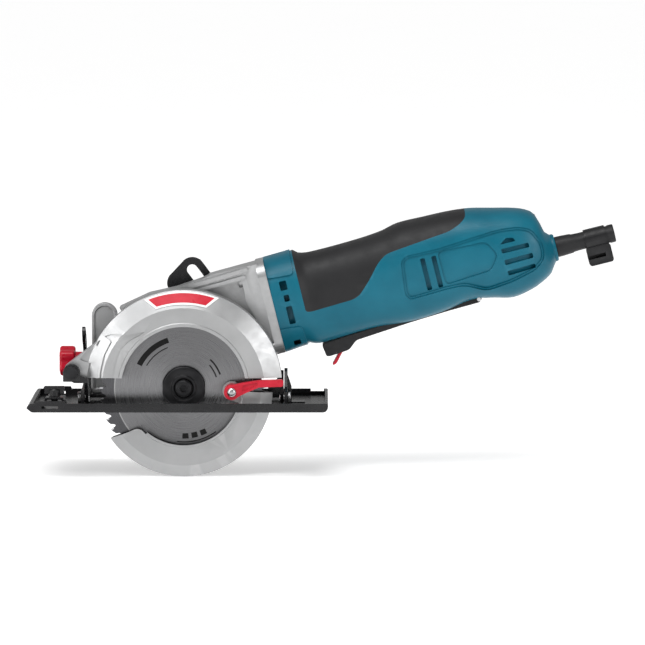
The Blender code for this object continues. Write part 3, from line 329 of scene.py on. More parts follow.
def arc_mark(tree, radius, turn, inner, outer, first, last):
    """One inside a band of radius and angle, and nought outside it."""
    near = arithmetic(tree, "COMPARE", radius, (inner + outer) / 2, (outer - inner) / 2)
    within = arithmetic(tree, "COMPARE", turn, (first + last) / 2, (last - first) / 2)
    return arithmetic(tree, "MULTIPLY", near, within)


def blade_material():
    """Ground steel with circular grinding marks, a darker rim behind the teeth and plain printed bars."""
    material, tree, shader = blank_material("blade_steel")
    radius, turn = around_hub(tree)
    place_on = node(tree, "ShaderNodeCombineXYZ")
    tree.links.new(radius, place_on.inputs["X"])
    tree.links.new(arithmetic(tree, "MULTIPLY", turn, 3), place_on.inputs["Y"])
    lines = noise(tree, place_on.outputs[0], 3.2, 6)
    rim = spread(tree, radius, 0, 1, 51.6, 51.9)
    ring = arithmetic(tree, "COMPARE", radius, 51.2, 0.35)
    tone = mixed(tree, spread(tree, lines, 0, 1), (0.15, 0.15, 0.155), (0.235, 0.235, 0.24))
    tone = mixed(tree, rim, tone, (0.095, 0.095, 0.10))
    tone = mixed(tree, ring, tone, (0.34, 0.34, 0.34))
    for inner, outer, first, last in BLADE_BARS:
        tone = mixed(tree, arc_mark(tree, radius, turn, inner, outer, first, last), tone, (0.02, 0.02, 0.02))
    tree.links.new(tone, shader.inputs["Base Color"])
    tree.links.new(spread(tree, lines, 0.24, 0.36), shader.inputs["Roughness"])
    shader.inputs["Metallic"].default_value = 1
    shader.inputs["Anisotropic"].default_value = 0.8
    shader.inputs["Anisotropic Rotation"].default_value = 0.25
    around = node(tree, "ShaderNodeTangent", direction_type="RADIAL", axis="Y")
    tree.links.new(around.outputs["Tangent"], shader.inputs["Tangent"])
    bumped(tree, shader, lines, 0.004)
    return material


MATERIALS = {name: finish_material(name, *values) for name, values in FINISHES.items()}
MATERIALS["blade_steel"] = blade_material()


def added(name, data):
    """A new object in the scene."""
    made = bpy.data.objects.new(name, data)
    bpy.context.scene.collection.objects.link(made)
    return made


def mesh_piece(name, mesh_bm, matrix=None):
    """An object from a bmesh in millimetres, in place in the frame's axes."""
    bmesh.ops.recalc_face_normals(mesh_bm, faces=mesh_bm.faces)
    bmesh.ops.scale(mesh_bm, vec=(MM, MM, MM), verts=mesh_bm.verts)
    if matrix:
        bmesh.ops.transform(mesh_bm, matrix=matrix, verts=mesh_bm.verts)
    mesh = bpy.data.meshes.new(name)
    mesh_bm.to_mesh(mesh)
    mesh_bm.free()
    return added(name, mesh)


def settle(piece):
    """Turns a piece's modifiers into its mesh."""
    graph = bpy.context.evaluated_depsgraph_get()
    graph.update()
    mesh = bpy.data.meshes.new_from_object(piece.evaluated_get(graph))
    piece.modifiers.clear()
    piece.data = mesh


def combine(target, operation, others):
    """Booleans another shape, or several, into the target and removes them."""
    for other in others:
        modifier = target.modifiers.new(other.name, "BOOLEAN")
        modifier.operation = operation
        modifier.solver = "EXACT"
        modifier.object = other
    settle(target)
    for other in others:
        bpy.data.objects.remove(other, do_unlink=True)
    return target


def cut(target, *cutters):
    return combine(target, "DIFFERENCE", cutters)


def join(target, *others):
    return combine(target, "UNION", others)


def keep_inside(target, *others):
    return combine(target, "INTERSECT", others)


def soften(piece, width=0.5, segments=2, angle=28):
    """Rounds every edge sharper than an angle."""
    tidy = bmesh.new()
    tidy.from_mesh(piece.data)
    bmesh.ops.remove_doubles(tidy, verts=tidy.verts, dist=1e-6)
    bmesh.ops.dissolve_degenerate(tidy, edges=tidy.edges, dist=1e-6)
    bmesh.ops.dissolve_limit(tidy, angle_limit=math.radians(0.3), verts=tidy.verts, edges=tidy.edges)
    tidy.to_mesh(piece.data)
    tidy.free()
    modifier = piece.modifiers.new("soften", "BEVEL")
    modifier.width = width * MM
    modifier.segments = segments
    modifier.limit_method = "ANGLE"
    modifier.angle_limit = math.radians(angle)
    modifier.use_clamp_overlap = True
    settle(piece)


def dress(piece, finish, body, *nodes, shade=32, slot=None):
    """Smooth shading, a finish, the body the piece rides on and the CAD nodes it stands for."""
    piece.data.shade_smooth()
    piece.data.set_sharp_from_angle(angle=math.radians(shade))
    weighting = piece.modifiers.new("weighting", "WEIGHTED_NORMAL")
    weighting.keep_sharp = True
    settle(piece)
    piece.data.materials.clear()
    piece.data.materials.append(MATERIALS[finish])
    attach(piece, body)
    if nodes:
        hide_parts(*nodes)


def place(x, y, z):
    return Matrix.Translation(Vector((x, y, z)) * MM)


def axis_frame(x, y, z, along="Y"):
    """A frame whose +Z runs along X or Y through a point."""
    turn = Matrix.Rotation(math.pi / 2, 4, "Y") if along == "X" else Matrix.Rotation(-math.pi / 2, 4, "X")
    return place(x, y, z) @ turn


def motor_frame():
    """A frame whose +X runs up the motor axis, from the front of the motor housing."""
    return place(MOTOR_X, MOTOR_Y, MOTOR_Z) @ Matrix.Rotation(math.radians(-MOTOR_TILT), 4, "Y")


def motor_axis(v=0):
    return motor_frame() @ place(0, 0, v) @ Matrix.Rotation(math.pi / 2, 4, "Y")


def motor_point(u, v):
    """X and Z of a point u along the motor axis and v above it."""
    tilt = math.radians(MOTOR_TILT)
    x = MOTOR_X + u * math.cos(tilt) - v * math.sin(tilt)
    return x, MOTOR_Z + u * math.sin(tilt) + v * math.cos(tilt)


def arc(centre_a, centre_b, radius, start, end, steps):
    """Points of an arc between two angles."""
    points = []
    for i in range(steps + 1):
        angle = math.radians(start + (end - start) * i / steps)
        points.append((centre_a + radius * math.cos(angle), centre_b + radius * math.sin(angle)))
    return points


def rounded(outline, radius, steps=4):
    """An outline with every corner turned into a small arc, smaller where its sides are short."""
    points = []
    count = len(outline)
    for i in range(count):
        before, corner, after = (Vector(outline[(i + k) % count]) for k in (-1, 0, 1))
        back, ahead = before - corner, after - corner
        reach = min(radius, back.length * 0.45, ahead.length * 0.45)
        first, last = corner + back.normalized() * reach, corner + ahead.normalized() * reach
        for k in range(steps + 1):
            t = k / steps
            points.append(tuple(first * (1 - t) ** 2 + corner * 2 * t * (1 - t) + last * t**2))
    return points


def loft(name, sections, matrix=None):
    """A closed solid through rings of equal point counts, capped at both ends."""
    bm = bmesh.new()
    rings = [[bm.verts.new(point) for point in section] for section in sections]
    bm.faces.new(rings[0])
    bm.faces.new(list(reversed(rings[-1])))
    for first, second in zip(rings, rings[1:]):
        for i in range(len(first)):
            j = (i + 1) % len(first)
            bm.faces.new((first[i], first[j], second[j], second[i]))
    return mesh_piece(name, bm, matrix)


def prism(name, outline, low, high, plane="XZ", matrix=None):
    """An outline extruded between two heights: in the XZ plane along Y, YZ along X, or XY along Z."""
    put = {
        "XZ": lambda a, b, h: (a, h, b),
        "YZ": lambda a, b, h: (h, a, b),
        "XY": lambda a, b, h: (a, b, h),
    }[plane]
    return loft(name, [[put(a, b, height) for a, b in outline] for height in (low, high)], matrix)


def across(name, outline, half_width=60):
    """An outline along and above the motor axis, extruded to both sides of it."""
    return prism(name, outline, -half_width, half_width, "XZ", motor_frame())


def box(name, low, high, matrix=None):
    outline = [(low[0], low[1]), (high[0], low[1]), (high[0], high[1]), (low[0], high[1])]
    return prism(name, outline, low[2], high[2], "XY", matrix)


def turned(name, profile, matrix, steps=64):
    """A closed solid of revolution about the matrix's Z, from (radius, height) points."""
    bm = bmesh.new()
    rings = []
    for radius, height in profile:
        if radius == 0:
            rings.append([bm.verts.new((0, 0, height))])
            continue
        around = arc(0, 0, radius, 0, 360 - 360 / steps, steps - 1)
        rings.append([bm.verts.new((a, b, height)) for a, b in around])
    for first, second in zip(rings, rings[1:] + rings[:1]):
        if len(first) == 1 and len(second) == 1:
            continue
        for i in range(steps):
            j = (i + 1) % steps
            lower = (first[i % len(first)], first[j % len(first)])
            upper = (second[j % len(second)], second[i % len(second)])
            bm.faces.new(list(dict.fromkeys(lower + upper)))
    return mesh_piece(name, bm, matrix)


def plug(name, radius, first, last, matrix, steps):
    """A cylinder between two heights on the matrix's Z."""
    return turned(name, [(0, first), (radius, first), (radius, last), (0, last)], matrix, steps)


def rod(name, x, y, z, radius, low, high, along="Y", steps=40):
    return plug(name, radius, high, low, axis_frame(x, y, z, along), steps)


def arc_sweep(name, profile, start, end, steps):
    """A (radius, Y) profile swept about the spindle axis."""
    sections = []
    for i in range(steps + 1):
        angle = math.radians(start + (end - start) * i / steps)
        sections.append([(HUB_X + r * math.cos(angle), y, HUB_Z + r * math.sin(angle)) for r, y in profile])
    return loft(name, sections)


def tooth_point(i, share, drop):
    """X and Z, from the blade's axis, of a point on one tooth."""
    angle = (i + share) * (2 * math.pi / BLADE_TEETH)
    radius = BLADE_RADIUS - drop
    return radius * math.cos(angle), radius * math.sin(angle)


def blade():
    """The toothed plate, with its origin on its own axis for the grinding marks."""
    outline = [tooth_point(i, *corner) for i in range(BLADE_TEETH) for corner in TOOTH]
    disc = prism("blade_plate", outline, BLADE_NEAR, BLADE_FAR)
    hole = plug("blade_bore", 5, 40, 20, Matrix.Rotation(math.pi / 2, 4, "X"), 48)
    soften(cut(disc, hole), 0.12, 1, 40)
    disc.location = (HUB_X * MM, 0, HUB_Z * MM)
    dress(disc, "blade_steel", "spindle", "blade")


def blade_tips():
    """Hard tips, a little wider than the plate, on the leading edge of every tooth."""
    bm = bmesh.new()
    for i in range(BLADE_TEETH):
        corners = [(HUB_X + x, HUB_Z + z) for x, z in (tooth_point(i, *corner) for corner in TIP)]
        near = [bm.verts.new((x, BLADE_NEAR - TIP_OVERHANG, z)) for x, z in corners]
        far = [bm.verts.new((x, BLADE_FAR + TIP_OVERHANG, z)) for x, z in corners]
        bm.faces.new(near)
        bm.faces.new(far[::-1])
        for k in range(len(TIP)):
            j = (k + 1) % len(TIP)
            bm.faces.new((near[k], near[j], far[j], far[k]))
    dress(mesh_piece("blade_tips", bm), "steel", "spindle")


def outer_flange():
    """The dished washer with two flats, and the socket bolt that clamps the blade."""
    hub = axis_frame(HUB_X, 0, HUB_Z)
    profile = [
        (4.9, -29.1), (16.3, -29.1), (16.3, -30.7), (15.2, -31.7), (12.4, -32), (9.6, -32), (8.7, -33),
        (7.2, -33), (6.9, -31.8), (4.9, -31.8),
    ]
    washer = turned("clamp_washer", profile, hub, 96)
    flats = [
        box(f"flat_{side}", (HUB_X + low, -40, HUB_Z - 8), (HUB_X + high, -20, HUB_Z + 8))
        for side, low, high in (("front", -20, -15.7), ("rear", 15.7, 20))
    ]
    soften(cut(washer, *flats), 0.35, 3)
    dress(washer, "black_steel", "spindle", "outer_flange")
    head = [(0, -18.6), (2.7, -18.6), (2.7, -32.1), (6.2, -32.1), (6.2, -36.6), (5.4, -37.2), (0, -37.2)]
    bolt = turned("clamp_bolt", head, hub, 64)
    socket = prism("socket", arc(HUB_X, HUB_Z, 3, 0, 300, 5), -40, -34)
    soften(cut(bolt, socket), 0.25, 2)
    dress(bolt, "black_steel", "spindle", "blade_bolt")


def upper_guard():
    """The cast fixed guard: lipped window, flat ring, chamfer, sunk leaf, back wall and front pivot arm."""
    window, rim, near, far = UPPER_WINDOW, UPPER_RADIUS, UPPER_NEAR, UPPER_FAR
    profile = [
        (window, near - 0.6), (window + 2.2, near - 0.6), (window + 2.9, near), (CHAMFER_START, near),
        (rim, near + CHAMFER_DEPTH), (rim, far), (22, far), (22, far - 2), (rim - 2.2, far - 2),
        (rim - 2.2, near + 6.6), (59.6, near + 2.2), (window, near + 2.2),
    ]
    guard = arc_sweep("fixed_guard", profile, 0, 180, 120)
    arm = arc(HUB_X, HUB_Z, 71.9, 173, 150, 8)
    arm += arc(DEPTH_X, DEPTH_Z, 6.3, 125, 300, 20)
    arm_block = prism("guard_arm", arm, -38, -22)
    sunk = rounded([(-73, 37), (-60.5, 51), (-59.5, 33)], 2.4)
    cut(arm_block, prism("guard_arm_pocket", sunk, -44, -35.6))
    join(guard, arm_block)
    trim = box("guard_trim", (-71.2, -60, -80), (100, 0, UPPER_CUT))
    pivot = rod("guard_pivot", DEPTH_X, -30, DEPTH_Z, 3.3, -20, 20)
    cut(guard, trim, pivot)
    skin = [(40, near + 1.5), (60.4, near + 1.5), (76, near + 8.7), (76, 0), (40, 0)]
    leaf = prism("guard_leaf", rounded(GUARD_LEAF, 2.2, 5), near - 3, far - 8)
    cut(leaf, arc_sweep("leaf_floor", skin, 0, 180, 120))
    cut(guard, leaf)
    soften(guard, 0.45, 3, 24)
    dress(guard, "silver_casting", "saw_body", "upper_guard")


def label_band(name, inner, outer, lifts, start, end):
    """A plate on the guard's chamfer, with ends that lean inwards."""
    sections = []
    steps = 48
    for i in range(steps + 1):
        section = []
        for radius, lift in ((inner, lifts[0]), (outer, lifts[0]), (outer, lifts[1]), (inner, lifts[1])):
            first = start + (LABEL_RIM - radius) * LABEL_LEANS[0]
            last = end - (LABEL_RIM - radius) * LABEL_LEANS[1]
            angle = math.radians(first + (last - first) * i / steps)
            reach = radius + CHAMFER_NORMAL[0] * lift
            share = (radius - CHAMFER_START) / (UPPER_RADIUS - CHAMFER_START)
            y = UPPER_NEAR + share * CHAMFER_DEPTH - CHAMFER_NORMAL[1] * lift
            section.append((HUB_X + reach * math.cos(angle), y, HUB_Z + reach * math.sin(angle)))
        sections.append(section)
    return loft(name, sections)


def guard_label():
    """The plain label on the chamfer, with a pale border round it."""
    plate = label_band("label_plate", 62.4, 71.8, (0.05, 0.62), 68.2, 114.2)
    dress(plate, "label_border", "saw_body", "guard_label", slot="red_plastic")
    face = label_band("label_face", 63.8, 70.6, (0.5, 0.74), 69.9, 112.5)
    dress(face, "red_plastic", "saw_body")


def lower_guard():
    """The swinging guard: a lipped crescent with a round peak in front, the web to its hub, and an ear."""
    inner, rim, near, far = LOWER_INNER, LOWER_RADIUS, LOWER_NEAR, LOWER_FAR
    profile = [
        (inner, near - 0.6), (inner + 1.4, near - 0.6), (inner + 2, near), (57.4, near), (rim, near + 4.6),
        (rim, far), (inner, far), (inner, far - 1.3), (rim - 1.4, far - 1.3), (rim - 1.4, near + 5.2),
        (57, near + 1.5), (inner, near + 1.5),
    ]
    guard = arc_sweep("swing_guard", profile, -145, -3, 110)
    hub_ring = [(15.2, -23.6), (21, -23.6), (21, -22.3), (15.2, -22.3)]
    hub = turned("swing_hub", hub_ring, axis_frame(HUB_X, 0, HUB_Z), 72)
    web = [(20, -22.3), (44, -22.3), (44, -23.6), (20, -23.6)]
    web_plate = arc_sweep("swing_web", web, -110, -8, 60)
    ear = [(LEVER_X + 14, LEVER_Z - 12), (LEVER_X + 14, LEVER_Z - 1.5), (LEVER_X + 2, LEVER_Z + 7)]
    ear += arc(LEVER_X, LEVER_Z, 7, 90, 235, 20)
    ear_plate = prism("swing_ear", ear, near, near + 1.5)
    join(guard, hub, web_plate, ear_plate)
    hole = rod("swing_hole", LEVER_X, 0, LEVER_Z, 1.9, -60, -20)
    tip_outline = rounded([(HUB_X + a, HUB_Z + b) for a, b in GUARD_TIP], 2)
    tip = prism("swing_tip", tip_outline, near - 4, far + 4)
    cut(guard, hole, tip)
    soften(guard, 0.4, 3, 24)
    dress(guard, "silver_casting", "lower_guard", "lower_guard")


def guard_lever():
    """The red lift lever with its round boss, sunk gusset and screw."""
    x, z = LEVER_X, LEVER_Z
    boss = rod("lift_lever", x, 0, z, 5.7, -47.5, LOWER_NEAR - GAP, "Y", 64)
    arm = [(x + 1, z - 5), (x + 9, z - 1.2), (x + 20, z + 3.6), (77, 17.8), (78, 19), (78, 22)]
    arm += [(77, 23.1), (x + 20, 22.6), (x + 8, 20.8), (x, z + 5.4)]
    arm_plate = prism("lift_arm", arm, -47.5, -43.2)
    gusset_outline = [(x + 2, z - 5), (x + 19, z + 4.2), (x + 19, 22), (x + 2, 18)]
    gusset = prism("lift_gusset", gusset_outline, -47.5, -44.9)
    join(boss, arm_plate, gusset)
    bore = rod("lift_bore", x, 0, z, 1.9, -60, -20)
    sunk_outline = [(x + 7.6, z + 0.4), (x + 19, z + 5.4), (x + 19, z + 7), (x + 8.4, z + 5)]
    sunk = prism("lift_sunk", rounded(sunk_outline, 0.8), -50, -46.7)
    cut(boss, bore, sunk)
    soften(boss, 0.7, 4, 30)
    dress(boss, "red_plastic", "lower_guard", "guard_lever")
    profile = [(0, -33), (1.6, -33), (1.6, -47.8), (3.2, -47.8)]
    profile += [(3.2, -48.2), (2.6, -48.9), (1.6, -49.3), (0, -49.4)]
    screw = turned("lift_screw", profile, axis_frame(x, 0, z), 48)
    slots = []
    for turn in (0.5, 0.5 + math.pi / 2):
        c, s = math.cos(turn), math.sin(turn)
        corners = ((-1.7, -0.3), (1.7, -0.3), (1.7, 0.3), (-1.7, 0.3))
        outline = [(x + a * c - b * s, z + a * s + b * c) for a, b in corners]
        slots.append(prism(f"screw_slot_{len(slots)}", outline, -52, -48.6))
    cut(screw, *slots)
    dress(screw, "steel", "lower_guard", "guard_lever_screw")


def knob():
    """The five-lobed red knob on the bevel stud."""
    sections = []
    edge = ((-89.6, -1.4), (-89.2, -0.7), (-88.4, -0.15), (-87.4, 0), (-80, 0), (-78.8, -0.4), (-78, -1.4))
    for x, grow in edge:
        ring = []
        for i in range(100):
            angle = 2 * math.pi * i / 100
            radius = KNOB_RADIUS + grow + KNOB_WAVE * math.cos(KNOB_LOBES * angle)
            ring.append((x, STUD_Y + radius * math.cos(angle), STUD_Z + radius * math.sin(angle)))
        sections.append(ring)
    lobes = loft("star_knob", sections)
    stud = axis_frame(0, STUD_Y, STUD_Z, "X")
    neck = turned("knob_neck", [(0, -79), (7.2, -79), (7, -72.2), (0, -72.2)], stud, 64)
    bore = rod("knob_bore", 0, STUD_Y, STUD_Z, 2.5, -87, -70, "X", 32)
    cut(join(lobes, neck), bore)
    dress(lobes, "red_plastic", "bevel_knob", "bevel_knob", shade=40)


def paddle():
    """The long paddle under the grip, with its notch for the lock-off tongue."""
    outline = [(27, -37.1), (28.4, -46.4), (31, -47), (45.9, -45.8), (52.7, -40.2), (94.2, -37)]
    outline += [(125, -35.4), (149, -34.8), (151.5, -32.5), (149.5, -30), (125, -31.6)]
    outline += [(94, -33.2), (50, -35.2)]
    bar = across("paddle", rounded(outline, 2), 9.5)
    pivot = plug("paddle_bore", 1.8, -20, 20, paddle_pin_axis(), 32)
    notch = box("paddle_notch", (30, -6.3, -60), (45.5, 6.3, -41), motor_frame())
    cut(bar, pivot, notch)
    soften(bar, 1.1, 4, 35)
    dress(bar, "black_plastic", "paddle", "paddle_switch")
    tongue = [(38.6, -42), (41.6, -42), (41.6, -45.4), (34.4, -53.6)]
    tongue += [(31.6, -54.6), (31.2, -53.4), (38.6, -45.4)]
    lock = across("lock_tongue", tongue, 6)
    soften(lock, 0.6, 3, 20)
    dress(lock, "red_plastic", "lock_off", "lock_off_lever")


def paddle_pin_axis():
    pin = place(PADDLE_PIN_U, 0, PADDLE_PIN_V)
    return motor_frame() @ pin @ Matrix.Rotation(-math.pi / 2, 4, "X")


def housing_rows():
    """The housing table filled in with smooth rows between its own."""
    rows = []
    for k in range(len(HOUSING) - 1):
        picked = [HOUSING[max(0, min(len(HOUSING) - 1, k + j))] for j in (-1, 0, 1, 2)]
        span = picked[2][0] - picked[1][0]
        pieces = max(1, round(span / HOUSING_STEP))
        for i in range(pieces):
            t = i / pieces
            row = [picked[1][0] + span * t]
            for column in (1, 2, 3):
                slopes = [
                    (picked[b][column] - picked[a][column]) / (picked[b][0] - picked[a][0]) * span
                    for a, b in ((0, 2), (1, 3))
                ]
                low, high = picked[1][column], picked[2][column]
                value = low * (2 * t**3 - 3 * t**2 + 1) + high * (3 * t**2 - 2 * t**3)
                value += slopes[0] * (t**3 - 2 * t**2 + t) + slopes[1] * (t**3 - t**2)
                row.append(value)
            rows.append(row)
    return rows + [HOUSING[-1]]


def housing_section(u, top, bottom, half_width, depth, points=72):
    """A soft rectangle across the motor axis, a depth inside the skin."""
    middle = (top + bottom) / 2
    tall, wide = (top - bottom) / 2 - depth, half_width - depth
    power = 2 / HOUSING_SQUARENESS
    section = []
    for i in range(points):
        angle = 2 * math.pi * (i + 0.5) / points
        c, s = math.cos(angle), math.sin(angle)
        y = math.copysign(abs(c) ** power, c) * wide
        section.append((u, y, middle + math.copysign(abs(s) ** power, s) * tall))
    return section


def housing_loft(name, depth=0, first=0, last=300):
    """The housing's shape, a depth inside its skin, between two distances along the axis."""
    sections = [housing_section(*row, depth) for row in housing_rows() if first <= row[0] <= last]
    return loft(name, sections, motor_frame())


def inset(outline, distance):
    """A clockwise outline with every side moved inwards."""
    moved = []
    for i, (x, y) in enumerate(outline):
        before = Vector((x, y)) - Vector(outline[i - 1])
        after = Vector(outline[(i + 1) % len(outline)]) - Vector((x, y))
        first = Vector((before.y, -before.x)).normalized()
        second = Vector((after.y, -after.x)).normalized()
        shift = (first + second) * distance / (1 + first.dot(second))
        moved.append((x + shift.x, y + shift.y))
    return moved


def skin_cutter(name, outline, depth):
    """A cutter that sinks an outline on the housing's sides to an even depth."""
    return cut(across(name, outline), housing_loft(f"{name}_core", depth))


def housing_shells():
    """The two teal shells: front pads, cord collar, grip seat, sunk side panels, vents and paddle slot."""
    matrix = motor_frame()
    shell = housing_loft("shells")
    hollows = [
        housing_loft("shell_room", 5.4, 0, 205),
        loft("shell_mouth", [housing_section(u, 35.3, -35.3, 31, 2.8) for u in (-2, 20)], matrix),
        skin_cutter("grip_seat", rounded(GRIP_EDGE, 4, 5), 2.6),
        skin_cutter("side_field", rounded(SIDE_FIELD, 5, 5), 1),
        skin_cutter("side_floor", rounded(inset(SIDE_FIELD, 1.7), 3.6, 5), 2),
        skin_cutter("rating_field", rounded(RATING_FIELD, 4, 5), 3.1),
    ]
    paddle_room = box("paddle_room", (24, -11, -60), (153, 11, -26.5), matrix)
    cord = plug("cord_hole", 5.9, 190, 230, motor_axis(CORD_V), 48)
    pin = plug("pin_hole", 1.8, -14, 14, paddle_pin_axis(), 32)
    for i, outline in enumerate(FRONT_PADS):
        pad = across(f"front_pad_{i}", rounded(outline, 3, 5))
        join(shell, keep_inside(pad, housing_loft(f"front_pad_{i}_skin", -1.1)))
    collar = [(0, 200), (10.5, 200), (10.3, 213.2), (9.6, 214.2), (0, 214.2)]
    join(shell, turned("cord_collar", collar, motor_axis(CORD_V), 64))
    for hollow in hollows:
        cut(shell, hollow)
    cut(shell, paddle_room, cord, pin)
    cut(shell, *(across(f"vent_{i}", rounded(outline, 0.9, 3)) for i, outline in enumerate(VENTS)))
    for name, low, high in (("left", -60, -GAP / 2), ("right", GAP / 2, 60)):
        half = added(f"shell_{name}", shell.data.copy())
        keep_inside(half, box(f"side_{name}", (-10, low, -80), (260, high, 80), matrix))
        soften(half, 0.45, 2, 30)
        dress(half, "teal_plastic", "saw_body", f"motor_housing_{name}", shade=36)
    bpy.data.objects.remove(shell, do_unlink=True)


def vent_screens():
    """Screens of the body's plastic close behind the air slots, clear of the paddle."""
    for name, first, last in (("front", 3, 18), ("middle", 110, 128), ("rear", 171, 199)):
        screen = housing_loft(f"screen_{name}", 5.9, first, last)
        cut(screen, housing_loft(f"screen_{name}_core", 6.9))
        cut(screen, box(f"screen_{name}_foot", (0, -60, -60), (140, 60, -24), motor_frame()))
        dress(screen, "teal_plastic", "saw_body")


def grip():
    """The rubber grip that wraps the top of the body."""
    rubber = housing_loft("grip")
    keep_inside(rubber, across("grip_region", rounded(GRIP_EDGE, 4, 5)))
    cut(rubber, housing_loft("grip_core", 2.4))
    soften(rubber, 1, 3, 40)
    dress(rubber, "grip_rubber", "saw_body", "grip_overmold", shade=40)


def windings():
    """The wound copper ends of the rotor and the stator, ridged turn by turn."""
    for name, body, inner, outer, ends in WINDINGS:
        for side, (low, high) in zip(("front", "rear"), ends):
            profile = [(inner, low)]
            for i in range(10):
                start = low + (high - low) * i / 10
                profile += [(outer - 0.5, start), (outer, start + (high - low) / 20)]
            profile += [(outer - 0.5, high), (inner, high)]
            coil = turned(f"{name}_{side}", profile, motor_axis(), 48)
            dress(coil, "copper", body)


def cord_guard():
    """The stepped rubber sleeve with a bead at its end, and the hex key clip round it."""
    profile = [
        (3.6, 205), (5.6, 205), (5.6, 214.4), (7.7, 214.4), (7.6, 219), (7.2, 226), (6.7, 227),
        (6.5, 231), (6.25, 241), (6.4, 254), (6.8, 255), (6.8, 258.2), (6.4, 259), (3.6, 259),
    ]
    axis = motor_axis(CORD_V)
    sleeve = turned("cord_sleeve", profile, axis, 72)
    soften(sleeve, 0.3, 2, 24)
    dress(sleeve, "grip_rubber", "saw_body", "cord_guard")
    outline = rounded([(235.5, -15.4), (254, -15.4), (254, -29.4), (235.5, -29.4)], 2.4, 5)
    clip = across("key_clip", outline, 5)
    band = plug("clip_band", 7.6, 236.4, 252.5, axis, 64)
    bore = plug("clip_bore", 6.85, 225, 265, axis, 64)
    slit = box("clip_slit", (230, -8, -24.4), (249, 3.6, -21.6), motor_frame())
    cut(join(clip, band), bore, slit)
    soften(clip, 0.6, 3, 30)
    dress(clip, "black_plastic", "saw_body", "hex_key_holder")


def gear_case():
    """The cast case: flange, slanted shoulder, sunk wall with two beads above it, and the flange's bosses."""
    top = motor_point(CROWN_U, 0)
    matrix = motor_frame()
    outline = arc(HUB_X, HUB_Z, 12.8, 180, 325, 24)
    outline += [(30, 27), (44, 31), motor_point(-5, -33.5), motor_point(-5, 34.5), motor_point(-39, 34.6)]
    outline += [motor_point(-48, 33), (-2, 88), (-22, 83.6), (-44, 73.4)]
    outline += arc(*top, 33, 165, 200, 8)
    case = prism("case_block", outline, -12, 13)
    house_outline = ((-60, -13), (-5, -13), (-5, 34), (-42, 34), (-60, 22))
    house = prism("case_house", [motor_point(u, v) for u, v in house_outline], 9, 26)
    rim = []
    for side, level, start in ((1, 1, 0), (-1, 1, 90), (-1, -1, 180), (1, -1, 270)):
        rim += arc(side * 19, level * 23.3, 12, start, start + 90, 8)
    flange = prism("case_flange", rim, -6.5, -GAP / 2, "YZ", matrix)
    slope = loft(
        "case_slope",
        [
            [(-40, -24, 34.2), (-40, 10, 34.2), (-40, 10, 5), (-40, -24, 5)],
            [(-6, -28, 34.2), (-6, 22, 34.2), (-6, 22, -26), (-6, -28, -26)],
        ],
        matrix,
    )
    x, z = depth_slot_point(DEPTH_SLOT_TOP - DEPTH_RANGE - 0.8)
    for block in (house, flange, slope, rod("case_boss", x, 0, z, 8, 9, 25.8)):
        join(case, block)
    crown_room = [(0, 16), (8.3, 16), (8.3, 9.9), (29, 9.9), (29, -20), (0, -20)]
    motor_room = [(0, 5), (28, 5), (28, -3), (10.9, -3), (10.9, -13.4), (7.6, -13.4), (7.6, -59), (0, -59)]
    spindle_room = [(0, 9.6), (9.3, 9.6), (9.3, 0), (11.3, 0), (11.3, -20), (0, -20)]
    cut(case, turned("case_crown", crown_room, axis_frame(top[0], 0, top[1])))
    cut(case, turned("case_tunnel", motor_room, motor_axis()))
    cut(case, turned("case_spindle", spindle_room, axis_frame(HUB_X, 0, HUB_Z)))
    cut(case, prism("case_pocket", rounded(CASE_POCKET, 1.5), -30, -6.5))
    for i, (first, last, half_width, lift) in enumerate(CASE_BEADS):
        join(case, bead(f"case_bead_{i}", first, last, half_width, -12 - lift))
    for i, (start, y, v) in enumerate(CASE_BOSSES):
        profile = [(0, start), (3.6, start), (4.2, start + 1), (4.6, -4), (0, -4)]
        axis = matrix @ place(0, y, v) @ Matrix.Rotation(math.pi / 2, 4, "Y")
        join(case, turned(f"case_screw_boss_{i}", profile, axis, 40))
    cut(case, rod("case_seat", x, 0, z, 3.3, 16, 30), rod("case_lock", LOCK_X, 0, LOCK_Z, 2.8, 8, 16))
    soften(case, 0.6, 3, 24)
    dress(case, "silver_casting", "saw_body", "gear_case")


def bead(name, first, last, half_width, near):
    """A round-ended rib on the blade side of the gear case."""
    lean = math.degrees(math.atan2(last[1] - first[1], last[0] - first[0]))
    outline = arc(*last, half_width, lean - 90, lean + 90, 10)
    outline += arc(*first, half_width, lean + 90, lean + 270, 10)
    return prism(name, outline, near, -10)


def depth_slot_point(degrees):
    """X and Z of a point on the depth slot's centre line."""
    angle = math.radians(degrees)
    return DEPTH_X + DEPTH_SLOT_RADIUS * math.cos(angle), DEPTH_Z + DEPTH_SLOT_RADIUS * math.sin(angle)


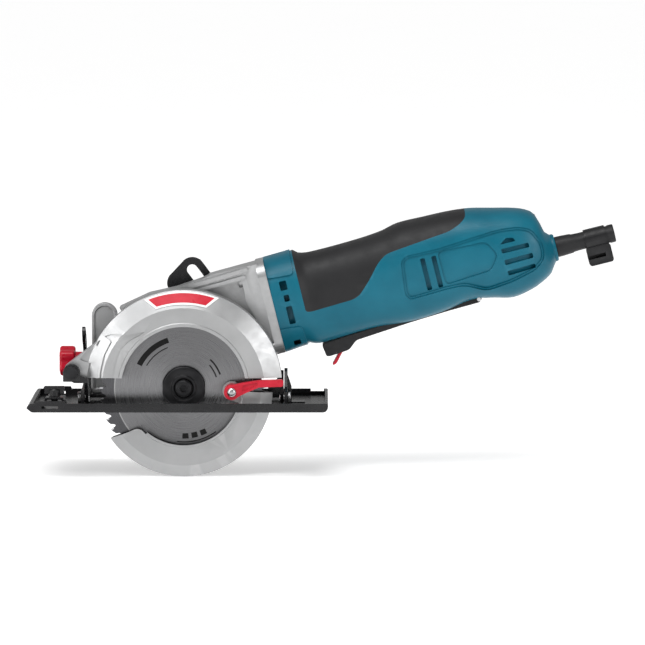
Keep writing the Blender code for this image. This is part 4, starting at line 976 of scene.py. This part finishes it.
def base_plate():
    """The stamped sole: slanted nose, raised rim with two tabs, blade opening, window and fence slot."""
    half, side = 111, 60
    profile = [(-half + 4, 0), (half - 4, 0)] + arc(half - 4, 4, 4, -80, 0, 8)
    profile += [(half, 6.5), (-half + 2.5, 6.5), (-half, 3.2)]
    plate = prism("sole", rounded(profile, 0.8, 2), -side, side)
    rim = 2
    tray_outline = [(-half + 5, 2), (half - 2.2, 2), (half - 2.2, 12), (-half + 5, 12)]
    tray = prism("sole_tray", tray_outline, -side + rim, side - rim)
    opening = [(-64, -40), (34, -40), (34, -52), (81, -52), (81, -41), (69.5, -41), (69.5, -8), (-64, -8)]
    opening_cut = prism("sole_opening", rounded(opening, 1.6), -2, 12, "XY")
    window = prism("sole_window", rounded([(20, 27), (66, 27), (66, 46), (20, 46)], 3), -2, 12, "XY")
    fence_outline = rounded([(-99.7, 2.6), (-87.5, 2.6), (-87.5, 4.6), (-99.7, 4.6)], 0.5)
    fence = prism("sole_fence", fence_outline, -side - 4, side + 4)
    far_step = box("sole_far_step", (98, side - 2.4, 4.6), (108, side + 4, 12))
    cut(plate, tray)
    raised = [(-105.6, 5), (-103.4, 8.3), (-83.6, 8.3), (-82, 5)]
    for i, (low, high) in enumerate(((-side, -side + rim), (side - rim, side))):
        join(plate, prism(f"sole_tab_{i}", raised, low, high))
    cut(plate, opening_cut, window, fence, far_step)
    soften(plate, 0.45, 2, 24)
    dress(plate, "black_paint", "base", "base_plate")


def depth_guide():
    """The slotted sector behind the guard."""
    low, top, end_radius = -11, DEPTH_SLOT_TOP, 9.5
    outline = arc(DEPTH_X, DEPTH_Z, DEPTH_SLOT_RADIUS + end_radius, low, top + 1, 40)
    outline += arc(*depth_slot_point(top), end_radius, top + 20, 143.5, 14)
    outline += arc(-0.2, 88.9, end_radius, 143.5, 215, 12)
    outline += [(4, 74), (14, 60)]
    outline += arc(DEPTH_X, DEPTH_Z, DEPTH_SLOT_RADIUS - 8, 14, low, 20)
    plate = prism("depth_sector", outline, 28, 30.4)
    start, half_width = top - DEPTH_RANGE - 2.4, 4
    slot = arc(DEPTH_X, DEPTH_Z, DEPTH_SLOT_RADIUS + half_width, start, top, 24)
    slot += arc(*depth_slot_point(top), half_width, top + 15, top + 165, 9)
    slot += arc(DEPTH_X, DEPTH_Z, DEPTH_SLOT_RADIUS - half_width, top, start, 24)
    slot += arc(*depth_slot_point(start), half_width, start + 195, start + 345, 9)
    foot = box("depth_foot", (20, 18, 6.9), (44, 30.4, 9.3))
    join(plate, foot)
    cut(plate, prism("depth_slot", slot, 20, 40), box("depth_trim", (0, 10, -30), (60, 40, 6.9)))
    soften(plate, 0.4, 3, 24)
    dress(plate, "black_paint", "tilt_frame", "depth_guide")


def frame_folds():
    """The squared ear round the depth pivot, and the folded edges that stiffen the two rear plates."""
    half_width = 6.35
    ear = arc(DEPTH_X, DEPTH_Z, half_width, 0, 180, 24)
    ear += [(DEPTH_X - half_width, 21.4), (DEPTH_X + half_width, 21.4)]
    plate = prism("pivot_ear", ear, -46.8, -42.9)
    cut(plate, rod("pivot_ear_bore", DEPTH_X, -44, DEPTH_Z, 3.2, -8, 8))
    soften(plate, 0.6, 3, 24)
    dress(plate, "black_paint", "tilt_frame")
    inner = [(66.4, 7.2), (77.6, 7.2), (77.6, 26.4), (74.6, 26.4), (73, 20.4), (66.4, 18.8)]
    outer = [(79.2, 3.4), (84, 3.4), (84, 15.6), (81.2, 24), (79.2, 26.6)]
    for name, outline, low, body in (
        ("frame_fold", inner, -15.2, "tilt_frame"), ("bracket_fold", outer, -20, "base")
    ):
        fold = prism(name, rounded(outline, 1), low, low + 1.8)
        soften(fold, 0.3, 2, 24)
        dress(fold, "black_paint", body)


def guide_cheek():
    """The cast cheek with a raised rim on both faces."""
    outline = [(-65.9, 6.9), (-46.6, 6.9), (-46.6, 64.8)] + arc(-56.3, 64.8, 9.7, 0, 180, 32)
    cheek = prism("cheek", outline, 21, 29.6)
    face = [(-63.6, 10), (-48.9, 10), (-48.9, 64.6)] + arc(-56.3, 64.6, 7.4, 0, 180, 28)
    cut(cheek, prism("cheek_front", face, 16, 22.6), prism("cheek_back", face, 25, 34))
    soften(cheek, 0.5, 3, 24)
    dress(cheek, "silver_casting", "tilt_frame", "guide_cheek")


def soften_small_parts():
    """The pressed, turned and moulded parts that keep the shape of their CAD node, with softened edges."""
    for name, finish, body, width in SMALL_PARTS:
        piece = added(f"{name}_soft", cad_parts[name].data.copy())
        soften(piece, width)
        dress(piece, finish, body, name)


def finish_frame_nodes():
    """Gives every CAD node that is still shown, most of them inside the saw, its slot's procedural finish."""
    for finish, names in INNER_FINISHES.items():
        for name in names:
            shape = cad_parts[name]
            shape.data.materials.clear()
            shape.data.materials.append(MATERIALS[finish])


def lay_floor():
    """A wide pale floor that reaches past the view at any low angle."""
    bm = bmesh.new()
    bm.faces.new([bm.verts.new((x, y, 0)) for x, y in arc(0, 0, FLOOR_RADIUS, 0, 360 - 360 / 64, 63)])
    floor = mesh_piece("floor", bm)
    floor.location.z = FLOOR_Z * MM
    material, tree, shader = blank_material("floor_paper")
    where = node(tree, "ShaderNodeTexCoord").outputs["Object"]
    tone = mixed(tree, noise(tree, where, 6), (0.93, 0.93, 0.93), (0.96, 0.96, 0.96))
    tree.links.new(tone, shader.inputs["Base Color"])
    shader.inputs["Roughness"].default_value = 0.9
    shader.inputs["Specular IOR Level"].default_value = 0.1
    shader.inputs["Emission Color"].default_value = (1, 1, 1, 1)
    shader.inputs["Emission Strength"].default_value = FLOOR_GLOW
    floor.data.materials.append(material)


def light_studio():
    """A room dimmer on the blade side, a soft overhead sun, and panels that streak the metal."""
    world = bpy.data.worlds.new("studio")
    world.use_nodes = True
    tree = world.node_tree
    split = node(tree, "ShaderNodeSeparateXYZ")
    tree.links.new(node(tree, "ShaderNodeTexCoord").outputs["Generated"], split.inputs[0])
    level = spread(tree, split.outputs["Y"], *ROOM_LIGHT, -1, 0.2)
    tree.links.new(level, tree.nodes["Background"].inputs["Strength"])
    tree.nodes["Background"].inputs["Color"].default_value = (1, 1, 1, 1)
    bpy.context.scene.world = world
    lamp = bpy.data.lights.new("sun", "SUN")
    lamp.energy = SUN_POWER
    lamp.angle = math.radians(SUN_WIDTH)
    added("sun", lamp).rotation_euler = [math.radians(turn) for turn in SUN_TURN]
    bpy.context.scene.view_settings.view_transform = "Standard"
    for name, where, size, power in PANELS:
        lamp = bpy.data.lights.new(name, "AREA")
        lamp.shape = "RECTANGLE"
        lamp.size, lamp.size_y = size
        lamp.energy = power
        panel = added(name, lamp)
        panel.location = where
        aim = Vector(PANEL_AIM) - Vector(where)
        panel.rotation_euler = aim.to_track_quat("-Z", "Y").to_euler()


def set_camera():
    """A long lens square to the blade side, looking down a little."""
    rise = math.radians(CAMERA_RISE)
    away = Vector((0, -math.cos(rise), math.sin(rise)))
    lens = bpy.data.cameras.new("camera")
    lens.sensor_width = SENSOR_WIDTH
    lens.lens = SENSOR_WIDTH * CAMERA_DISTANCE / CAMERA_WIDTH
    lens.clip_end = 100
    eye = added("camera", lens)
    eye.location = (Vector(CAMERA_TARGET) + away * CAMERA_DISTANCE) * MM
    eye.rotation_euler = (-away).to_track_quat("-Z", "Y").to_euler()
    bpy.context.scene.camera = eye


for step in (
    blade, blade_tips, outer_flange, upper_guard, guard_label, lower_guard, guard_lever, knob, paddle,
    housing_shells, vent_screens, windings, grip, cord_guard, gear_case, base_plate, depth_guide, frame_folds,
    guide_cheek, soften_small_parts, finish_frame_nodes, lay_floor, light_studio, set_camera,
):
    step()
